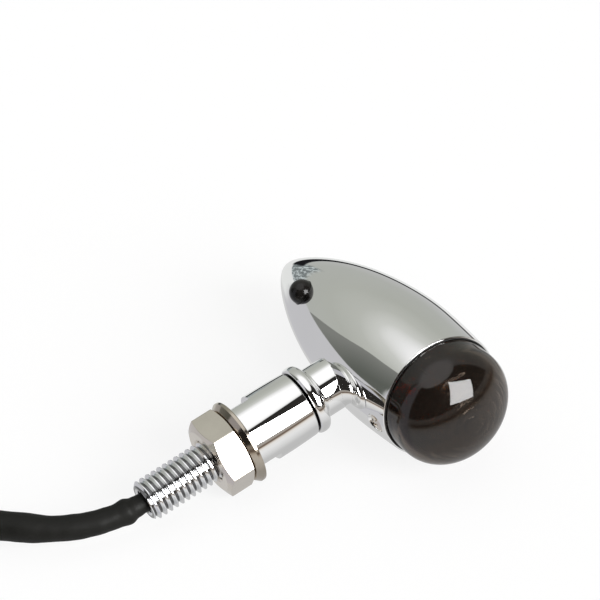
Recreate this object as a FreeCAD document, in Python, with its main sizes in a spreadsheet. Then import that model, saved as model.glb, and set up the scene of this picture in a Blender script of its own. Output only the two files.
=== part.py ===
"""Bullet turn signal indicator for a motorcycle, as a parametric FreeCAD document.

Frame: the origin is on the stem axis, in the plane of the barrel's clamping
shoulder. +X runs along the stem towards the head, the lens looks along -Y, and
+Z is up. The head's own axis is parallel to Y and crosses the stem axis.
All sizes are in millimetres and live in the sheet "Dims".
"""
import FreeCAD, Part
import Sketcher
import math
import os
from FreeCAD import Vector, Placement, Rotation

doc = FreeCAD.newDocument("TurnSignalIndicator")

# ---------------------------------------------------------------- the sheet
# Endings: _r radius, _t thickness, _w width, _len length, _af across flats,
# _x and _y stations on those axes, _arc_r the radius of a rounded outline.
SIZES = dict(
    # stem barrel
    barrel_len=15.9, barrel_end_r=7.80, barrel_rear_r=7.86, barrel_crown_r=150.0,
    barrel_chamfer=0.35, barrel_bore_r=6.00, barrel_web_r=4.60, barrel_web_x0=9.60,
    barrel_web_x1=12.40, barrel_rear_bore_r=6.20,
    flat_half=7.00, flat_len=5.40, flat_angle=47.8, flat_cut=2.5, flat_span=9.0,
    # neck tube: tail with clip groove, spigot with O-ring groove, bead, neck
    bead_x0=16.25, bead_x1=19.20, bead_r=8.35, bead_step=0.15, bead_step_drop=0.75,
    bead_foot_drop=0.60, bead_near_len=0.55, bead_far_len=0.75, bead_edge_drop=0.18,
    bead_near_arc_r=1.10, bead_crown_arc_r=2.40, bead_far_arc_r=1.35,
    neck_r=6.15, neck_fillet=0.95, spigot_r=5.95, spigot_x=12.50,
    tail_r=4.55, tail_x=5.60, tail_chamfer=0.30, wire_bore_r=2.60,
    oring_x=14.20, oring_sec_r=0.68, oring_proud=0.03, oring_groove_r=4.62,
    oring_groove_w=1.50, clip_x0=7.20, clip_x1=8.22, clip_groove_r=3.90,
    neck_step_x=25.40, neck_thread_r=4.40, neck_end_x=28.50, neck_end_chamfer=0.40,
    # rings inside the barrel
    ring_clear=0.05, thrust_t=0.60, thrust_out_clear=0.10,
    cone_gap=0.02, cone_rise=0.38, cone_t=0.34, cone_out_clear=0.25,
    clip_near_gap=0.04, clip_far_gap=0.02, clip_in_clear=0.02, clip_out_clear=0.60,
    # threaded stud, nut and washer
    stud_head_len=5.00, stud_major_r=4.90, stud_under_nut_r=4.73, stud_root_r=3.98,
    stud_pitch=1.50, stud_crest=0.30, stud_bore_r=2.90, stud_len=26.00,
    stud_chamfer=0.85, stud_lead_in=0.30, stud_bore_chamfer=0.35,
    stud_head_bore_chamfer=0.80, first_groove=0.45, thread_start=1.10, nut_seat=8.90,
    washer_r=10.00, washer_bore_r=5.00, washer_t=2.00, washer_bevel_x=1.15,
    washer_bevel_r=1.00, washer_round=0.28, washer_bore_chamfer=0.15,
    nut_af=17.00, nut_t=6.80, nut_bore_r=4.97, nut_sink=0.45,
    nut_outer_r=7.50, nut_outer_x=1.30, nut_seat_r=8.00, nut_seat_x=0.95,
    # head
    head_x=39.50, rim_y=-21.45, rim_r=14.80, rim_lip=0.12, shell_len=62.40,
    shell_wall=1.20, seat_r=14.40, seat_depth=1.50, skirt_bore_r=13.40,
    ledge_y0=-14.90, ledge_y1=-14.00, ledge_r=12.90, ledge_back=0.60,
    boss_r=7.00, boss_x=26.50, shell_hole_r=6.18, shell_thread_r=4.45,
    neck_nut_af=10.60, neck_nut_t=1.75, neck_nut_sink=0.20,
    neck_nut_face_r=5.15, neck_nut_chamfer=0.45,
    # lens, seal and retaining screw
    lens_r=14.10, lens_flange_y=-20.65, lens_cyl_y=-25.40, lens_apex_y=-35.65,
    lens_wall=1.55, lens_skirt_r=13.30, lens_skirt_in_r=11.75, lens_skirt_y=-15.50,
    lens_ring_h=0.45, gasket_lip_r=14.13, gasket_out_r=14.38, gasket_in_r=13.40,
    gasket_lip_y=-21.62, screw_y=-18.10, screw_seat_r=14.40, screw_pocket_r=1.95,
    screw_shank_r=1.00, screw_hole_r=1.06, screw_head_r=1.60, screw_head_h=1.15,
    screw_dome_h=0.65, screw_dome_arc_r=2.35, screw_tip_chamfer=0.30,
    screw_len=3.50, cross_w=0.42, cross_len=1.90, cross_deep=0.70,
    # reflector, socket and bulb
    refl_rim_r=13.28, refl_open_r=11.85, refl_neck_r=8.45, refl_neck_y=-3.20,
    refl_t=0.55, refl_collar_y=0.60, refl_arc_r=26.0,
    socket_out_r=8.35, socket_in_r=7.75, socket_y0=-4.60, socket_y1=15.90,
    socket_floor_t=0.80, socket_hole_r=1.60, socket_chamfer=0.15,
    slot_w=2.30, slot_deep=10.0, pin_y=3.00, pin_r=1.00, pin_tip_r=8.25, pin_sunk=0.20,
    bulb_turn=20.0, base_r=7.50, base_y0=-6.40, base_y1=9.20, base_wall=0.35,
    base_curl=0.60, base_end_wall=1.00, base_wall_step=0.15,
    globe_r=9.10, globe_y=-16.60, glass_t=0.70,
    contact_r=2.20, contact_y=10.80, contact_h=0.55, contact_arc_r=4.70,
    contact_margin=0.60, insul_r=7.60, insul_t=1.40, spring_groove_half=0.90,
    spring_groove_deep=0.30, spring_r=5.60, spring_wire_r=0.35, spring_turns=3.0,
    # telltale jewel
    jewel_px=32.73, jewel_py=20.59, jewel_pz=9.58, jewel_hole_r=2.86, jewel_r=2.80,
    jewel_dome_r=2.75, jewel_base=0.15, jewel_shoulder=0.05, jewel_chamfer=0.40,
    jewel_ring_r=4.40, jewel_ring_t=0.40, jewel_ring_deep=2.75, jewel_depth=3.30,
    # leads and sheath
    wire_r=0.80, wire_off=0.87, wire_gap_x=13.40, wire_clear=0.12,
    sheath_wall=0.38, terminal_r=1.95, terminal_len=15.0, terminal_pin_r=1.30,
    terminal_collar_drop=0.25, sleeve_r=2.75, sleeve_len=9.30, sleeve_bore_r=2.00,
    sleeve_back=4.00, sleeve_cone_len=1.40, sleeve_cone_drop=0.90,
)


class Size:
    """A number together with the sheet expression that gives it."""

    def __init__(self, value, text=None):
        self.value = float(value)
        self.bound = text is not None
        self.text = text if self.bound else repr(self.value)

    def _join(self, other, sign, operation):
        other = as_size(other)
        return Size(operation(self.value, other.value),
                    "(%s %s %s)" % (self.text, sign, other.text))

    def __add__(self, other):
        return self._join(other, "+", float.__add__)

    def __sub__(self, other):
        return self._join(other, "-", float.__sub__)

    def __mul__(self, other):
        return self._join(other, "*", float.__mul__)

    def __truediv__(self, other):
        return self._join(other, "/", float.__truediv__)

    def __neg__(self):
        return Size(0.0) - self


def as_size(number):
    return number if isinstance(number, Size) else Size(number)


class Names:
    """Holds the sizes as attributes."""


dim = Names()  # each size as a Size, bound to its cell
num = Names()  # each size as a plain number
sheet = doc.addObject("Spreadsheet::Sheet", "Dims")
for row, (alias, number) in enumerate(SIZES.items(), 1):
    sheet.set("A%d" % row, alias)
    sheet.set("B%d" % row, str(number))
    sheet.setAlias("B%d" % row, alias)
    setattr(dim, alias, Size(number, "Dims." + alias))
    setattr(num, alias, number)
doc.recompute()

# ------------------------------------------------------- PartDesign helpers
ORIGIN = Vector(0, 0, 0)
X_AXIS = Vector(1, 0, 0)
Y_AXIS = Vector(0, 1, 0)
Z_AXIS = Vector(0, 0, 1)
OVERCUT = 0.5  # how far a cutting outline stands clear of the face it enters
# The head's pieces are turned about an axis parallel to Y:
# local X becomes +Y and local Y becomes -X.
HEAD = Placement(Vector(num.head_x, 0, 0), Rotation(Z_AXIS, 90))
pieces = []


def bind(item, prop, size):
    """Sets a property and ties it to the sheet if the size comes from there."""
    size = as_size(size)
    setattr(item, prop, size.value)
    if size.bound:
        item.setExpression(prop, size.text)


def hold(sketch, size, *constraint):
    """Adds a dimensional constraint, tied to the sheet if the size comes from there."""
    index = sketch.addConstraint(Sketcher.Constraint(*constraint, size.value))
    if size.bound:
        sketch.setExpression("Constraints[%d]" % index, size.text)


def hold_point(sketch, geometry, position, x, y):
    hold(sketch, x, "DistanceX", -1, 1, geometry, position)
    hold(sketch, y, "DistanceY", -1, 1, geometry, position)


def new_body(label, place=None):
    body = doc.addObject("PartDesign::Body", label)
    body.Label = label
    if place is not None:
        body.Placement = place
    pieces.append(body)
    return body


def new_sketch(body, name, plane="XY_Plane", offset=None):
    sketch = body.newObject("Sketcher::SketchObject", name)
    support = next(f for f in body.Origin.OriginFeatures if f.Role == plane)
    sketch.AttachmentSupport = [(support, "")]
    sketch.MapMode = "FlatFace"
    if offset is not None:
        sketch.setExpression("AttachmentOffset.Base.z", offset.text)
    return sketch


def arc_between(start, end, radius, side):
    """Arc bulging left (side +1) or right (side -1) of its travel, and its first end's number."""
    chord = end - start
    left = Vector(-chord.y, chord.x, 0).normalize()
    rise = math.sqrt(radius ** 2 - (chord.Length / 2) ** 2)
    centre = (start + end) * 0.5 - left * (rise * side)
    angle_start = math.atan2(start.y - centre.y, start.x - centre.x)
    angle_end = math.atan2(end.y - centre.y, end.x - centre.x)
    # an arc that bulges to the left of its travel runs clockwise
    if side > 0:
        low, high, first = angle_end, angle_start, 2
    else:
        low, high, first = angle_start, angle_end, 1
    if high < low:
        high += 2 * math.pi
    return Part.ArcOfCircle(Part.Circle(centre, Z_AXIS, radius), low, high), first


def draw_outline(sketch, points, arcs=None):
    """Closed outline. arcs maps a segment number to (radius, +1 or -1): bulge left or right."""
    arcs = arcs or {}
    points = [(as_size(x), as_size(y)) for x, y in points]
    corners = [Vector(x.value, y.value, 0) for x, y in points]
    count = len(points)
    ends = []
    for i, start in enumerate(corners):
        end = corners[(i + 1) % count]
        if i in arcs:
            radius, side = as_size(arcs[i][0]), arcs[i][1]
            arc, first = arc_between(start, end, radius.value, side)
            geometry = sketch.addGeometry(arc, False)
            ends.append((geometry, first, 3 - first))
            hold(sketch, radius, "Radius", geometry)
        else:
            geometry = sketch.addGeometry(Part.LineSegment(start, end), False)
            ends.append((geometry, 1, 2))
    for i in range(count):
        geometry, _, last = ends[i]
        following, first, _ = ends[(i + 1) % count]
        sketch.addConstraint(Sketcher.Constraint("Coincident", geometry, last, following, first))
    for (geometry, first, _), (x, y) in zip(ends, points):
        hold_point(sketch, geometry, first, x, y)


def turn(body, kind, name, sketch):
    """Revolution or Groove of a sketch, full circle about local X."""
    step = body.newObject(kind, name)
    step.Profile = sketch
    step.ReferenceAxis = (sketch, ["H_Axis"])
    step.Angle = 360.0
    doc.recompute()


def extrude(body, kind, name, sketch, length, reverse=False):
    """Pad or Pocket of a sketch. A pad grows along the sketch's normal, a pocket
    cuts against it, and reverse swaps the direction."""
    step = body.newObject(kind, name)
    step.Profile = sketch
    bind(step, "Length", length)
    step.Reversed = reverse
    doc.recompute()


def require_cut(body, name, volume_before):
    if not body.Shape.Volume < volume_before - 1e-4:
        raise RuntimeError(name + " cut nothing")


def revolve(label, points, arcs=None, place=None):
    """A turned piece: stations along local X, radii along local Y."""
    body = new_body(label, place)
    sketch = new_sketch(body, label + "_profile")
    draw_outline(sketch, points, arcs)
    turn(body, "PartDesign::Revolution", label + "_turn", sketch)
    return body


def head_revolve(label, points, arcs=None):
    """A piece turned about the head's axis: stations are Y, radii are from that axis."""
    body = revolve(label, points, arcs, HEAD)
    body.setExpression(".Placement.Base.x", dim.head_x.text)
    return body


def groove(body, name, points):
    volume = body.Shape.Volume
    sketch = new_sketch(body, name + "_profile")
    draw_outline(sketch, points)
    turn(body, "PartDesign::Groove", name, sketch)
    require_cut(body, name, volume)


def pocket(body, name, points, length, plane="YZ_Plane", offset=None, along_normal=True):
    volume = body.Shape.Volume
    sketch = new_sketch(body, name + "_outline", plane, offset)
    draw_outline(sketch, points)
    extrude(body, "PartDesign::Pocket", name, sketch, length, along_normal)
    require_cut(body, name, volume)


# --------------------------------------------------------- surface helpers
def add_shape(label, shape):
    """A piece whose surface no sketch or primitive gives."""
    item = doc.addObject("Part::Feature", label)
    item.Label = label
    item.Shape = shape
    pieces.append(item)


def spline(points, start_tangent=None, end_tangent=None):
    """Smooth curve through the points. Tangents are given for both ends or neither."""
    curve = Part.BSplineCurve()
    vectors = [Vector(*p) for p in points]
    if start_tangent is None:
        curve.interpolate(vectors)
    else:
        curve.interpolate(Points=vectors, InitialTangent=Vector(*start_tangent),
                          FinalTangent=Vector(*end_tangent))
    return curve


def parameters(curve, count):
    """count + 1 parameters, evenly spaced from the curve's first to its last."""
    first, last = curve.FirstParameter, curve.LastParameter
    return [first + (last - first) * k / float(count) for k in range(count + 1)]


def lines(*points):
    """Straight edges through (x, y) points."""
    return [Part.makeLine(Vector(*a, 0), Vector(*b, 0)) for a, b in zip(points, points[1:])]


def turned_solid(edges):
    """Closed edges in the XY plane, turned full circle about X."""
    face = Part.Face(Part.Wire(Part.__sortEdges__(edges)))
    return face.revolve(ORIGIN, X_AXIS, 360)


def x_rod(radius, length, x, y=0.0):
    return Part.makeCylinder(radius, length, Vector(x, y, 0), X_AXIS)


def y_rod(radius, length, x, y, z=0.0):
    return Part.makeCylinder(radius, length, Vector(x, y, z), Y_AXIS)


def tube_along(points, radius, step=3.0):
    """A round wire: a skin through circles set square to a smooth line through the points."""
    curve = spline(points)
    total = curve.length()
    count = max(6, int(round(total / step)))
    rings = []
    for k in range(count + 1):
        u = curve.parameterAtDistance(total * k / count, curve.FirstParameter)
        rings.append(Part.Wire(Part.makeCircle(radius, curve.value(u), curve.tangent(u)[0])))
    return Part.makeLoft(rings, True, False)


# -------------------------------------------------------------------- stem
def make_barrel():
    """Crowned sleeve with an inner web and two flats on its rear end."""
    length, chamfer = dim.barrel_len, dim.barrel_chamfer
    rear_r, end_r, bore_r = dim.barrel_rear_r, dim.barrel_end_r, dim.barrel_bore_r
    barrel = revolve("barrel", [
        (0, dim.barrel_rear_bore_r), (0, rear_r - chamfer), (chamfer, rear_r),
        (length - chamfer, end_r), (length, end_r - chamfer), (length, bore_r),
        (dim.barrel_web_x1, bore_r), (dim.barrel_web_x1, dim.barrel_web_r),
        (dim.barrel_web_x0, dim.barrel_web_r), (dim.barrel_web_x0, dim.barrel_rear_bore_r),
    ], {2: (dim.barrel_crown_r, +1)})
    cosine = math.cos(math.radians(num.flat_angle))
    sine = math.sin(math.radians(num.flat_angle))

    def turned(along, across):
        """A point given along the flats' normal and across it, in the YZ plane."""
        return (along * cosine - across * sine, along * sine + across * cosine)

    span = dim.flat_span
    for name, side in (("flat_a", 1.0), ("flat_b", -1.0)):
        near = dim.flat_half * side
        far = (dim.flat_half + dim.flat_cut) * side
        pocket(barrel, name, [turned(near, -span), turned(far, -span),
                              turned(far, span), turned(near, span)], dim.flat_len)


def make_neck_tube():
    """Tail, spigot, bead ring and neck in one, with a through bore."""
    fillet = dim.neck_fillet
    groove_x0 = dim.oring_x - dim.oring_groove_w / 2.0
    groove_x1 = dim.oring_x + dim.oring_groove_w / 2.0
    edge_r = dim.bead_r - dim.bead_edge_drop
    revolve("neck_tube", [
        (dim.tail_x, dim.wire_bore_r), (dim.tail_x, dim.tail_r - dim.tail_chamfer),
        (dim.tail_x + dim.tail_chamfer, dim.tail_r),
        (dim.clip_x0, dim.tail_r), (dim.clip_x0, dim.clip_groove_r),
        (dim.clip_x1, dim.clip_groove_r), (dim.clip_x1, dim.tail_r),
        (dim.spigot_x, dim.tail_r), (dim.spigot_x, dim.spigot_r),
        (groove_x0, dim.spigot_r), (groove_x0, dim.oring_groove_r),
        (groove_x1, dim.oring_groove_r), (groove_x1, dim.spigot_r),
        (dim.bead_x0 - dim.bead_step, dim.spigot_r),
        (dim.bead_x0 - dim.bead_step, dim.barrel_end_r - dim.bead_step_drop),
        (dim.bead_x0, dim.barrel_end_r - dim.bead_foot_drop),
        (dim.bead_x0 + dim.bead_near_len, edge_r),
        (dim.bead_x1 - dim.bead_far_len, edge_r),
        (dim.bead_x1, dim.neck_r + fillet), (dim.bead_x1 + fillet, dim.neck_r),
        (dim.neck_step_x, dim.neck_r), (dim.neck_step_x, dim.neck_thread_r),
        (dim.neck_end_x - dim.neck_end_chamfer, dim.neck_thread_r),
        (dim.neck_end_x, dim.neck_thread_r - dim.neck_end_chamfer),
        (dim.neck_end_x, dim.wire_bore_r),
    ], {15: (dim.bead_near_arc_r, +1), 16: (dim.bead_crown_arc_r, +1),
        17: (dim.bead_far_arc_r, +1), 18: (fillet * 1.02, -1)})


def hex_nut(label, x0, thick, across_flats, bore, sink, near, far):
    """A hexagon from x0 towards +X with a countersunk plain bore.
    near and far give (flat face radius, chamfer depth) at x0 and at the other face."""
    body = new_body(label)
    corner_r = across_flats / math.sqrt(3.0)
    angles = [math.radians(60 * k) for k in range(6)]
    sketch = new_sketch(body, label + "_hex_outline", "YZ_Plane", x0)
    draw_outline(sketch, [(corner_r * math.cos(a), corner_r * math.sin(a)) for a in angles])
    extrude(body, "PartDesign::Pad", label + "_hex", sketch, thick)
    x1 = x0 + thick
    before, after = x0 - OVERCUT, x1 + OVERCUT
    outside = across_flats * 0.62  # beyond the hexagon's corners
    (near_r, near_deep), (far_r, far_deep) = near, far
    groove(body, label + "_chamfer_a", [
        (before, near_r), (x0, near_r), (x0 + near_deep, outside), (before, outside)])
    groove(body, label + "_chamfer_b", [
        (after, far_r), (after, outside), (x1 - far_deep, outside), (x1, far_r)])
    groove(body, label + "_bore", [
        (before, 0), (before, bore + sink + OVERCUT), (x0, bore + sink), (x0 + sink, bore),
        (x1 - sink, bore), (x1, bore + sink), (after, bore + sink + OVERCUT), (after, 0)])


def make_neck_nut():
    chamfer = (dim.neck_nut_face_r, dim.neck_nut_chamfer)
    hex_nut("neck_nut", dim.boss_x, dim.neck_nut_t, dim.neck_nut_af, dim.neck_thread_r,
            dim.neck_nut_sink, near=chamfer, far=chamfer)


def make_oring():
    oring = doc.addObject("Part::Torus", "swivel_oring")
    oring.Label = "swivel_oring"
    oring.setExpression("Radius1", (dim.spigot_r + dim.oring_proud - dim.oring_sec_r).text)
    oring.setExpression("Radius2", dim.oring_sec_r.text)
    oring.Placement = Placement(Vector(num.oring_x, 0, 0), Rotation(Y_AXIS, 90))
    oring.setExpression(".Placement.Base.x", dim.oring_x.text)
    pieces.append(oring)


def make_barrel_rings():
    """Thrust washer on the web, then conical spring washer and circlip on the tail."""
    in_r = dim.barrel_web_r + dim.ring_clear
    out_r = dim.barrel_rear_bore_r - dim.thrust_out_clear
    x1 = dim.barrel_web_x0
    x0 = x1 - dim.thrust_t
    revolve("thrust_washer", [(x0, in_r), (x0, out_r), (x1, out_r), (x1, in_r)])

    in_r = dim.tail_r + dim.ring_clear
    out_r = dim.barrel_rear_bore_r - dim.cone_out_clear
    x0 = dim.clip_x1 + dim.cone_gap
    x1 = x0 + dim.cone_rise
    revolve("spring_washer", [
        (x0, in_r), (x1, out_r), (x1 + dim.cone_t, out_r), (x0 + dim.cone_t, in_r)])

    in_r = dim.clip_groove_r + dim.clip_in_clear
    out_r = dim.barrel_rear_bore_r - dim.clip_out_clear
    x0 = dim.clip_x0 + dim.clip_near_gap
    x1 = dim.clip_x1 - dim.clip_far_gap
    clip = revolve("circlip", [(x0, in_r), (x0, out_r), (x1, out_r), (x1, in_r)])
    gap_outline = [(-1.3, 3.0), (1.3, 3.0), (2.6, 7.0), (-2.6, 7.0)]  # (y, z), on the +Z side
    pocket(clip, "circlip_gap", gap_outline, dim.clip_x1 + 1.0)


def make_flat_washer():
    """Washer against the barrel's shoulder, bevelled on its -X face."""
    x0 = -dim.washer_t
    chamfer, bore_r = dim.washer_bore_chamfer, dim.washer_bore_r
    washer = revolve("flat_washer", [
        (x0, bore_r + chamfer), (x0, dim.washer_r - dim.washer_bevel_r),
        (x0 + dim.washer_bevel_x, dim.washer_r), (0, dim.washer_r), (0, bore_r + chamfer),
        (-chamfer, bore_r), (x0 + chamfer, bore_r)])
    base = washer.Tip
    rim_edges = ["Edge%d" % i for i, edge in enumerate(base.Shape.Edges, 1)
                 if isinstance(edge.Curve, Part.Circle)
                 and abs(edge.Curve.Radius - num.washer_r) < 1e-3]
    if not rim_edges:
        raise RuntimeError("washer_rounds found no edge")
    rounds = washer.newObject("PartDesign::Fillet", "washer_rounds")
    rounds.Base = (base, rim_edges)
    bind(rounds, "Radius", dim.washer_round)
    doc.recompute()


def make_hex_nut():
    hex_nut("hex_nut", -(dim.washer_t + dim.nut_t), dim.nut_t, dim.nut_af, dim.nut_bore_r,
            dim.nut_sink, near=(dim.nut_outer_r, dim.nut_outer_x),
            far=(dim.nut_seat_r, dim.nut_seat_x))


def make_stud():
    """Hollow stud from its free end to its head, the thread as V grooves one pitch apart."""
    end = -dim.stud_len
    bore, major, root = dim.stud_bore_r, dim.stud_major_r, dim.stud_root_r
    pitch, small = dim.stud_pitch, dim.stud_under_nut_r
    crest_back = 0.6  # from a groove's centre back to where the crest before it is judged
    tan30 = math.tan(math.radians(30))
    half_root = (pitch - dim.stud_crest) / 2.0 - (major - root) * tan30

    def crest_radius(x):
        """Full size up to the nut's seat, smaller from there to the head."""
        return major if x < -num.nut_seat else small

    points = [(end, bore + dim.stud_bore_chamfer), (end, major - dim.stud_chamfer),
              (end + dim.stud_chamfer - dim.stud_lead_in, major - dim.stud_lead_in)]
    first = end + dim.stud_chamfer + dim.first_groove
    last_x = -num.thread_start - 0.7
    k = 0
    middle = first
    while middle.value <= last_x:
        left = crest_radius(middle.value - crest_back)
        right = crest_radius(middle.value - crest_back + num.stud_pitch)
        if k:
            points.append((middle - half_root - (left - root) * tan30, left))
        points += [(middle - half_root, root), (middle + half_root, root),
                   (middle + half_root + (right - root) * tan30, right)]
        k += 1
        middle = first + pitch * k
    head_r, head_x = dim.barrel_rear_bore_r, dim.stud_head_len
    chamfer = dim.stud_head_bore_chamfer
    points += [(0, small), (0, head_r), (head_x, head_r), (head_x, bore + chamfer),
               (head_x - chamfer, bore), (end + dim.stud_bore_chamfer, bore)]
    revolve("threaded_stud", points)


# ---------------------------------------------------- housing and its jewel
# Outer line of the bullet: (fraction of the length from the rim, radius)
SHELL_OUTLINE = [
    (0.0, num.rim_r), (0.12, 15.40), (0.25, 15.72), (0.40, 15.16), (0.55, 13.68),
    (0.70, 11.22), (0.82, 8.40), (0.91, 5.62), (0.97, 3.18), (1.0, 0.0)]


def shell_curve():
    """Outer line of the bullet from rim to tip, as (y, radius)."""
    points = [(num.rim_y + part * num.shell_len, r, 0) for part, r in SHELL_OUTLINE]
    return spline(points, (1.0, 0.10, 0), (0.0, -1.0, 0))


def shell_inner_curve(outer, tip_y):
    """The outer line set in by the wall, from behind the ledge to the axis at tip_y."""
    points = []
    for u in parameters(outer, 40)[:-1]:
        tangent = outer.tangent(u)[0]
        normal = Vector(tangent.y, -tangent.x, 0)
        if normal.y > 0:
            normal = normal * -1
        point = outer.value(u) + normal * num.shell_wall
        if point.x > num.ledge_y1 + 0.5 and point.y > 0.05:
            points.append((point.x, point.y, 0))
    points.append((tip_y, 0, 0))
    (xa, ya, _), (xb, yb, _) = points[:2]
    return spline(points, (1.0, (yb - ya) / (xb - xa), 0), (0.0, -1.0, 0)), (xa, ya)


def jewel_frame():
    """Centre of the jewel on the outer surface, and the outward normal there."""
    curve = shell_curve()
    u = min(parameters(curve, 2000), key=lambda v: abs(curve.value(v).x - num.jewel_py))
    point, tangent = curve.value(u), curve.tangent(u)[0]
    radial = Vector(num.jewel_px - num.head_x, 0, num.jewel_pz).normalize()
    centre = Vector(num.head_x, point.x, 0) + radial * point.y
    return centre, (radial * tangent.x - Y_AXIS * tangent.y).normalize()


JEWEL_CENTRE, JEWEL_NORMAL = jewel_frame()


def make_housing():
    """Bullet shell with lens seat, ledge, neck boss, screw pocket and jewel hole."""
    outer = shell_curve()
    end_y = outer.value(outer.LastParameter).x
    tip_y = end_y - num.shell_wall * 1.15
    inner, inner_start = shell_inner_curve(outer, tip_y)
    rim_y, rim_point = num.rim_y, (num.rim_y, num.rim_r)
    seat_y, lip_y = rim_y + num.seat_depth, rim_y - num.rim_lip
    edges = [outer.toShape()] + lines((end_y, 0), (tip_y, 0)) + [inner.toShape()]
    edges += lines(
        inner_start, (num.ledge_y1, num.ledge_r + num.ledge_back),
        (num.ledge_y1, num.ledge_r), (num.ledge_y0, num.ledge_r),
        (num.ledge_y0, num.skirt_bore_r), (seat_y, num.skirt_bore_r), (seat_y, num.seat_r),
        (lip_y, num.seat_r), (lip_y, num.rim_r - num.rim_lip), rim_point)
    body = turned_solid(edges)
    body.Placement = HEAD
    # boss inside the wall: a flat seat for the neck nut, trimmed to the outer surface
    boss_len = 8.0
    boss = x_rod(num.boss_r, boss_len, num.boss_x - boss_len)
    filled = turned_solid([outer.toShape()] + lines((end_y, 0), (rim_y, 0), rim_point))
    filled.Placement = HEAD
    body = body.fuse(boss.common(filled))
    # neck hole, up to the neck's step, and the smaller hole for its end
    neck_cut = 14.0
    body = body.cut(x_rod(num.shell_hole_r, neck_cut, num.neck_step_x - neck_cut))
    body = body.cut(x_rod(num.shell_thread_r, 12.0, 20.0))
    # retaining screw: a shallow pocket and its hole through the rim band
    seat_x, pocket_len = num.head_x - num.screw_seat_r, 4.0
    body = body.cut(x_rod(num.screw_pocket_r, pocket_len, seat_x - pocket_len, num.screw_y))
    body = body.cut(x_rod(num.screw_hole_r, 6.0, seat_x - 1.0, num.screw_y))
    # jewel hole along the wall's normal
    hole_len = 8.0
    body = body.cut(Part.makeCylinder(num.jewel_hole_r, hole_len,
                                      JEWEL_CENTRE - JEWEL_NORMAL * (hole_len / 2),
                                      JEWEL_NORMAL))
    add_shape("housing_shell", body)


def make_jewel():
    """Domed jewel in the wall, and its ring inside. Local X is the outward normal."""
    place = Placement(JEWEL_CENTRE, Rotation(X_AXIS, JEWEL_NORMAL))
    foot, jewel_r, chamfer = -dim.jewel_depth, dim.jewel_r, dim.jewel_chamfer
    revolve("telltale_jewel", [
        (foot, 0), (foot, jewel_r - chamfer), (foot + chamfer, jewel_r),
        (-dim.jewel_shoulder, jewel_r), (dim.jewel_base, dim.jewel_dome_r),
        (dim.jewel_base + dim.jewel_dome_r, 0)], {4: (dim.jewel_dome_r, +1)}, place)
    x0 = -dim.jewel_ring_deep
    x1 = x0 + dim.jewel_ring_t
    revolve("jewel_ring", [
        (x0, jewel_r), (x0, dim.jewel_ring_r), (x1, dim.jewel_ring_r), (x1, jewel_r)],
        None, place)


# -------------------------------------------------- lens, gasket and screw
LENS_RIB_RADII = (2.6, 4.6, 6.6, 8.6, 10.3)


def lens_dome(radius, apex_y):
    """Quarter ellipse from the lens's cylinder to its apex."""
    depth = num.lens_cyl_y - apex_y
    angles = [math.pi / 2 * k / 24.0 for k in range(25)]
    points = [(num.lens_cyl_y - depth * math.sin(a), radius * math.cos(a), 0) for a in angles]
    return spline(points, (-1.0, 0.0, 0), (0.0, -1.0, 0))


def make_lens():
    out_r, wall = num.lens_r, num.lens_wall
    in_r = out_r - wall
    flange_y, cyl_y, apex_y = num.lens_flange_y, num.lens_cyl_y, num.lens_apex_y
    skirt_r, skirt_in_r, skirt_y = num.lens_skirt_r, num.lens_skirt_in_r, num.lens_skirt_y
    outer, inner = lens_dome(out_r, apex_y), lens_dome(in_r, apex_y + wall)
    edges = [outer.toShape()] + lines((apex_y, 0), (apex_y + wall, 0)) + [inner.toShape()]
    edges += lines((cyl_y, in_r), (flange_y, in_r), (flange_y + 0.6, skirt_in_r),
                   (skirt_y, skirt_in_r), (skirt_y, skirt_r), (flange_y, skirt_r),
                   (flange_y, out_r), (cyl_y, out_r))
    body = turned_solid(edges)
    # concentric triangular ribs inside the dome, their roots sunk in the wall
    half_w, root = 0.55, 0.45
    ribs = []
    for r in LENS_RIB_RADII:
        y = cyl_y - (cyl_y - apex_y - wall) * math.sqrt(1 - (r / in_r) ** 2)
        low = Vector(y - root, r - half_w, 0)
        crest = Vector(y + num.lens_ring_h, r, 0)
        high = Vector(y - root + 0.3, r + half_w, 0)
        section = Part.Face(Part.makePolygon([low, crest, high, low]))
        ribs.append(section.revolve(ORIGIN, X_AXIS, 360))
    body = body.fuse(ribs)
    body.Placement = HEAD
    hole_x = num.head_x - num.screw_seat_r - 0.5
    body = body.cut(x_rod(num.screw_hole_r, 6.0, hole_x, num.screw_y))
    add_shape("lens", body)


def make_gasket():
    seat_y = dim.rim_y + dim.seat_depth
    head_revolve("lens_gasket", [
        (dim.gasket_lip_y, dim.gasket_lip_r), (dim.gasket_lip_y, dim.gasket_out_r),
        (seat_y, dim.gasket_out_r), (seat_y, dim.gasket_in_r),
        (dim.lens_flange_y, dim.gasket_in_r), (dim.lens_flange_y, dim.gasket_lip_r)])


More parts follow.
